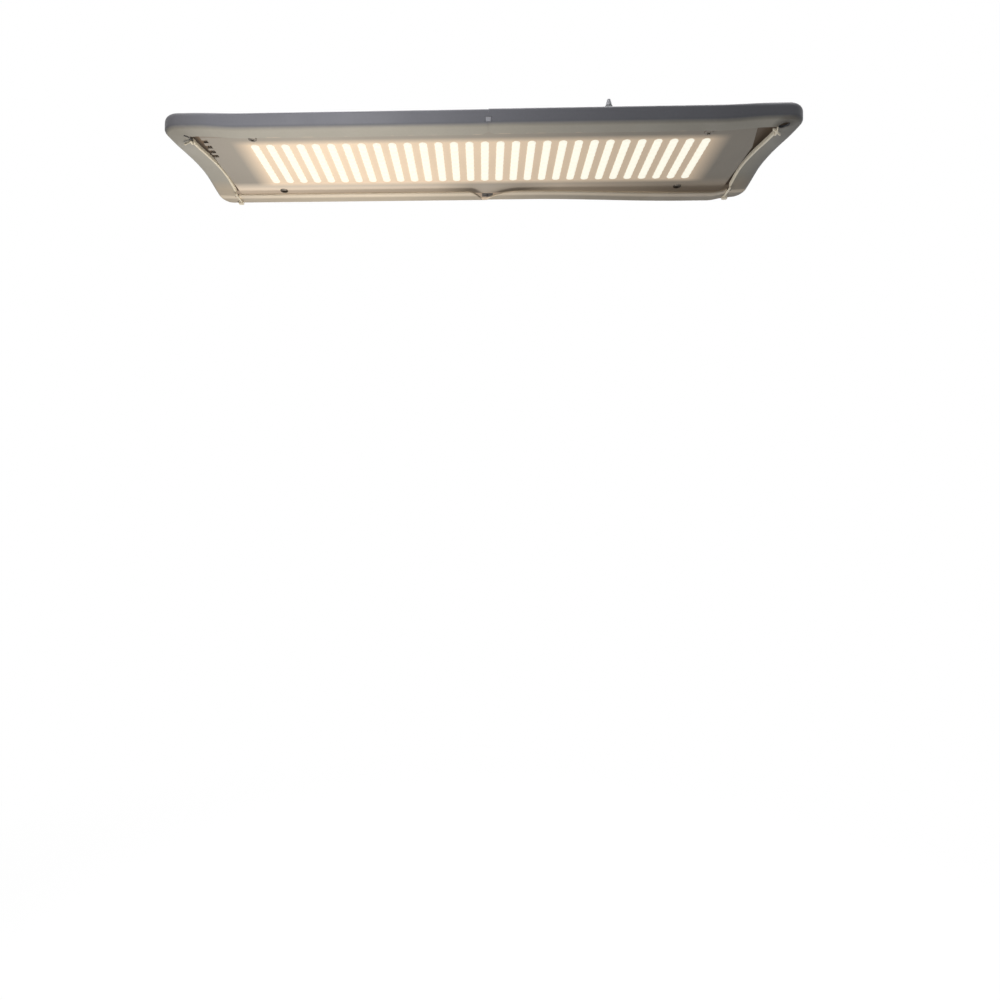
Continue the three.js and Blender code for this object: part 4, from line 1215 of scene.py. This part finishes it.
def crossed(form, radius, top, place):
    """A head with a cross recess, placed by a matrix."""
    head = form.mesh("head")
    arm = 2 * radius * RECESS_ARM
    slot = 2 * radius * RECESS_SLOT
    for size in ((arm, slot), (slot, arm)):
        cut = Form()
        height = (top - RECESS_DEPTH, top + CUT_PAST)
        cut.box(centred(0, size[0]), centred(0, size[1]), height, RECESS_SOFT)
        head = carved(head, cut.mesh("cross"))
    head.transform(Matrix.Translation(place.to_translation() * MM) @ place.to_3x3().to_4x4())
    return head


def make_screw(name, place, degrees, height, look):
    form = Form().turned(domed(SCREW_HEAD / 2, height), HEAD_SIDES)
    place = place @ placed(0, 0, 0, radians(degrees))
    piece(name, "head", crossed(form, SCREW_HEAD / 2, height, place), look)


def make_screws():
    """The heads, each stopped at a turn of its own."""
    for row, y in (("front", SCREW_FRONT_Y), ("rear", SCREW_REAR_Y)):
        for half, side in SIDES.items():
            x = ROWS_X + side * SCREW_X
            place = placed(x, y, BOARD_Z, pi, "X")
            make_screw(f"board_screw_{row}_{half}", place, x % QUARTER_TURN, SCREW_HEIGHT, SCREW)
    seat = top_level("right") + TAB_SHEET
    for half, side in SIDES.items():
        place = placed(DRIVER_X + side * TAB_SCREW_X, DRIVER_Y, seat)
        make_screw(f"driver_screw_{half}", place, side * TAB_SCREW_TURN, TAB_SCREW_HEIGHT, STEEL)


def rivet(form, x, y, z):
    profile = domed(RIVET_HEAD / 2, RIVET_HEIGHT, RIVET_EDGE)
    form.turned(profile, HEAD_SIDES, placed(x, y, z))


def make_strap():
    """The plate over the seam, with a step down to the lower half, and its rivets."""
    base = top_level("right")
    form = Form()
    loop = rounded((STRAP_LENGTH, STRAP_WIDTH), STRAP_CORNER, STRAP_STEPS, (SEAM_X, 0))
    form.slab(loop, base, base + STRAP_SHEET, STRAP_EDGE)
    step = (SEAM_X - STRAP_LENGTH / 2, SEAM_X - SEAM_GAP / 2)
    form.box(step, centred(0, STRAP_WIDTH), (top_level("left"), base + STEP_LAP), STEP_SOFT)
    for x in (SEAM_X - STRAP_RIVET_X, SEAM_X + STRAP_RIVET_X):
        for y in (-STRAP_RIVET_Y, STRAP_RIVET_Y):
            rivet(form, x, y, base + STRAP_SHEET)
    piece("seam_strap", "plate", form.mesh("strap"), PAINT)


def make_clips():
    """A cap in the pocket outside, a neck through the seam and a plate behind it."""
    high = CLIP_Z + CLIP_HEIGHT
    neck = centred(CLIP_Z + CLIP_HEIGHT / 2, CLIP_NECK)
    for name, side in (("seam_clip_front", -1), ("seam_clip_rear", 1)):
        form = Form()
        outer = side * HALF_WIDTH
        plate = side * (HALF_WIDTH - CLIP_PLATE)
        inner = side * (HALF_WIDTH - SHEET - PLAY)
        back = side * (HALF_WIDTH - SHEET - PLAY - CLIP_BACK_PLATE)
        neck_y = sorted((outer - side * CLIP_NECK_INSET, back))
        form.box(centred(SEAM_X, CLIP_WIDTH), sorted((outer, plate)), (CLIP_Z, high), CLIP_SOFT)
        form.box(centred(SEAM_X, CLIP_NECK), neck_y, neck)
        form.box(centred(SEAM_X, CLIP_BACK), sorted((inner, back)), (neck[0], high), CLIP_BACK_SOFT)
        piece(name, "cap", form.mesh(name), CLIP)


# Bails and brackets
def bent(points, radius):
    """Straight runs with rounded bends."""
    points = [Vector(point) for point in points]
    path = [points[0]]
    for before, corner, after in zip(points, points[1:], points[2:]):
        back = corner - before
        ahead = after - corner
        trim = min(radius, back.length / 2, ahead.length / 2)
        enter = corner - back.normalized() * trim
        leave = corner + ahead.normalized() * trim
        for t in evenly(0, 1, BEND_STEPS):
            path.append(enter * (1 - t) ** 2 + corner * 2 * t * (1 - t) + leave * t * t)
    path.append(points[-1])
    kept = [path[0]]
    for point in path[1:]:
        if (point - kept[-1]).length > LEAST_STEP:
            kept.append(point)
    return kept


def make_bail(half):
    side = SIDES[half]
    drop = asin((PIVOT_HEIGHT - BAIL_WIRE / 2 - BAIL_REST_GAP) / (BAIL_REACH + HOOK_DEPTH))
    arm = [
        (0, BAIL_END_Y),
        (0, BAIL_LEG_Y),
        (BAIL_REACH, BAIL_TOP_Y),
        (BAIL_REACH, HOOK_WIDTH / 2),
        (BAIL_REACH + HOOK_DEPTH, HOOK_WIDTH / 6),
    ]
    points = [(x, y, 0) for x, y in arm + [(x, -y) for x, y in arm[::-1]]]
    pivot_z = top_level(half) + PIVOT_HEIGHT
    turn = pi if half == "right" else 0
    place = placed(side * BAIL_X, 0, pivot_z, turn) @ placed(0, 0, 0, drop, "Y")
    form = Form().tube(bent(points, BAIL_BEND), BAIL_WIRE / 2, WIRE_SIDES, place)
    name = f"bail_{half}"
    piece(name, "wire", form.mesh("bail"), WIRE, WIRE_SHARP, body=name)


def make_ear(x, pivot, end):
    """One of a bracket's ears, with a round top and the bore that the bail's end turns in."""
    radius = BRACKET_WIDTH / 2
    foot = -PIVOT_HEIGHT + EAR_SINK
    tip = circle(radius, 2 * EAR_STEPS)[:EAR_STEPS + 1]
    edge = [*tip, (-radius, foot), (radius, foot)]
    sections = []
    for inset, reach in ((EAR_EDGE, 0), (0, EAR_EDGE), (0, EAR_SHEET - EAR_EDGE), (EAR_EDGE, EAR_SHEET)):
        share = 1 - inset / radius
        y = end * (EAR_Y + reach)
        sections.append([(x + u * share, y, pivot + (v * share if v > 0 else v)) for u, v in edge])
    bore = circle(BAIL_WIRE / 2 + PIVOT_PLAY, HEAD_SIDES)
    rings = []
    for y in (end * (EAR_Y - CUT_PAST), end * (EAR_Y + EAR_SHEET + CUT_PAST)):
        rings.append([(x + u, y, pivot + v) for u, v in bore])
    return carved(Form().loft(sections).mesh("ear"), Form().loft(rings).mesh("drill"))


def make_bracket(half):
    x = SIDES[half] * BAIL_X
    seat = top_level(half)
    top = seat + BRACKET_SHEET
    outer = EAR_Y + EAR_SHEET
    form = Form()
    form.box(centred(x, BRACKET_WIDTH), (-outer, outer), (seat, top), BRACKET_SOFT)
    for end in (-1, 1):
        rivet(form, x, end * BRACKET_RIVET_Y, top)
    mesh = form.mesh("bracket")
    for end in (-1, 1):
        mesh = carved(mesh, make_ear(x, seat + PIVOT_HEIGHT, end), "UNION")
    piece(f"bail_bracket_{half}", "sheet", mesh, STEEL)


# Driver and inlet
def driver_loop(inset, corner):
    """The driver's outline, drawn in by inset all round."""
    size = (DRIVER_LENGTH - 2 * inset, DRIVER_WIDTH - 2 * inset)
    return rounded(size, corner, ARC_STEPS, (DRIVER_X, DRIVER_Y))


def make_driver_case():
    seat = top_level("right")
    top = seat + DRIVER_HEIGHT
    form = Form()
    form.slab(driver_loop(0, DRIVER_CORNER), seat, top - PARTING_GAP, DRIVER_EDGE, DRIVER_EDGE_STEPS)
    for end in (-1, 1):
        near = DRIVER_X + end * (DRIVER_LENGTH / 2 - TAB_LAP)
        far = DRIVER_X + end * (DRIVER_LENGTH / 2 + TAB_REACH)
        y = centred(DRIVER_Y, TAB_WIDTH)
        height = (seat, seat + TAB_SHEET)
        form.box(sorted((near, far)), y, height, TAB_SOFT)
    grooves = Form()
    height = (seat + GROOVE_FOOT, top - GROOVE_HEAD)
    for i in range(GROOVE_COUNT):
        x = centred(DRIVER_X + (i - (GROOVE_COUNT - 1) / 2) * GROOVE_PITCH, GROOVE_WIDTH)
        for side in (-1, 1):
            y = centred(DRIVER_Y + side * DRIVER_WIDTH / 2, 2 * GROOVE_DEPTH)
            grooves.box(x, y, height, GROOVE_SOFT)
    mesh = carved(form.mesh("driver case"), grooves.mesh("grooves"))
    piece("driver_case", "shell", mesh, DRIVER)


def make_driver_cover():
    """The lid, with a rim that enters the case and a shallow panel in its top."""
    top = top_level("right") + DRIVER_HEIGHT
    lid = Form()
    lid.slab(driver_loop(0, DRIVER_CORNER), top, top + COVER, COVER_EDGE, COVER_EDGE_STEPS)
    lid.slab(driver_loop(RIM_INSET, RIM_CORNER), top - RIM_DEPTH, top + RIM_LAP)
    shallow = Form()
    floor = top + COVER - PANEL_DEPTH
    shallow.slab(driver_loop(PANEL_INSET, PANEL_CORNER), floor, top + COVER + CUT_PAST)
    mesh = carved(lid.mesh("driver cover"), shallow.mesh("panel"))
    piece("driver_cover", "lid", mesh, DRIVER)


def hexagon(flat, soft, inset):
    """Hexagon across flats, drawn in by inset, with corners of the soft radius."""
    reach = (flat / 2 - soft) / cos(pi / 6)
    points = []
    for corner in around(6):
        for angle in evenly(corner - pi / 6, pi / 3, GLAND_CORNER_STEPS):
            x = reach * cos(corner) + (soft - inset) * cos(angle)
            y = reach * sin(corner) + (soft - inset) * sin(angle)
            points.append((x, y))
    return points


def dome_section(share):
    """The gland's fluted dome, at a share of its height."""
    height = GLAND_FLANGE - GLAND_LAP + (GLAND_DOME + GLAND_LAP) * share
    narrowing = ramp((share - GLAND_SHOULDER) / (1 - GLAND_SHOULDER))
    radius = (GLAND_BASE + (GLAND_TOP - GLAND_BASE) * narrowing) / 2
    flute = FLUTE_DEPTH * ramp(share / FLUTE_START) * ramp((FLUTE_END - share) / FLUTE_FADE)
    loop = []
    for angle in around(GLAND_SIDES):
        reach = radius - flute * (1 + cos(FLUTES * angle)) / 2
        loop.append((reach * cos(angle), reach * sin(angle), height))
    return loop


def make_gland(place):
    form = Form()
    form.slab(lambda inset: hexagon(GLAND_FLAT, GLAND_SOFT, inset), 0, GLAND_FLANGE, GLAND_EDGE, place=place)
    form.loft([dome_section(share) for share in evenly(0, 1, GLAND_STEPS)], place)
    piece("cable_gland", "body", form.mesh("gland"), NYLON, GLAND_SHARP)


def make_sleeve(place):
    """A tapered sleeve on the dome, with shallow grooves round it."""
    base = GLAND_FLANGE + GLAND_DOME
    tip = base + SLEEVE_LENGTH
    bore = SLEEVE_BORE / 2

    def side_point(share):
        return ((SLEEVE_BASE + (SLEEVE_TIP - SLEEVE_BASE) * share) / 2, base + SLEEVE_LENGTH * share)

    profile = [(bore, base - SLEEVE_SINK), (SLEEVE_BASE / 2, base - SLEEVE_SINK)]
    for i in range(SLEEVE_RINGS):
        radius, height = side_point((i + RING_TOP) / SLEEVE_RINGS)
        profile.append(side_point(i / SLEEVE_RINGS))
        profile.append((radius, height))
        profile.append((radius - SLEEVE_GROOVE, height + RING_RISE))
    profile.append((SLEEVE_TIP / 2 - TIP_EDGE, tip - TIP_EDGE))
    profile.append((SLEEVE_TIP / 2 - TIP_ROUND, tip))
    profile.append((bore, tip))
    spike = Form().turned(profile, SLEEVE_SIDES, place)
    piece("cord_sleeve", "rib", spike.mesh("sleeve"), SLEEVE, SLEEVE_SHARP)


def make_inlet():
    place = placed(GLAND_X, GLAND_Y, top_level("right"))
    make_gland(place)
    make_sleeve(place)


# Looks of the CAD's own nodes, by the start of their names
CAD_LOOKS = {
    "bail_bracket": STEEL,
    "bail": WIRE,
    "board_connector": CONNECTOR,
    "board_screw": SCREW,
    "cable_gland": NYLON,
    "cord_sleeve": SLEEVE,
    "driver_case": DRIVER,
    "driver_circuit": CIRCUIT,
    "driver_cover": DRIVER,
    "driver_grommet": RUBBER,
    "driver_screw": STEEL,
    "end_edging": EDGING,
    "heat_spreader": ALUMINIUM,
    "input_lead": LEAD,
    "led_board": BOARD,
    "led_row": LED_DOME,
    "output_lead": LEAD,
    "seam_clip": CLIP,
    "seam_strap": PAINT,
    "thermal_pad": PAD,
    "tray": PAINT,
}


def dress_cad_nodes():
    for name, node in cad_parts.items():
        known = [prefix for prefix in CAD_LOOKS if name.startswith(prefix)]
        look = CAD_LOOKS[max(known, key=len)]
        node.data.materials.clear()
        node.data.materials.append(look)


# Everything is built here
dress_cad_nodes()
for half_name in SIDES:
    make_tray(half_name)
    make_edging(half_name)
    make_bail(half_name)
    make_bracket(half_name)
for row_index in range(ROW_COUNT):
    make_row(row_index)
make_screws()
make_strap()
make_clips()
make_driver_case()
make_driver_cover()
make_inlet()
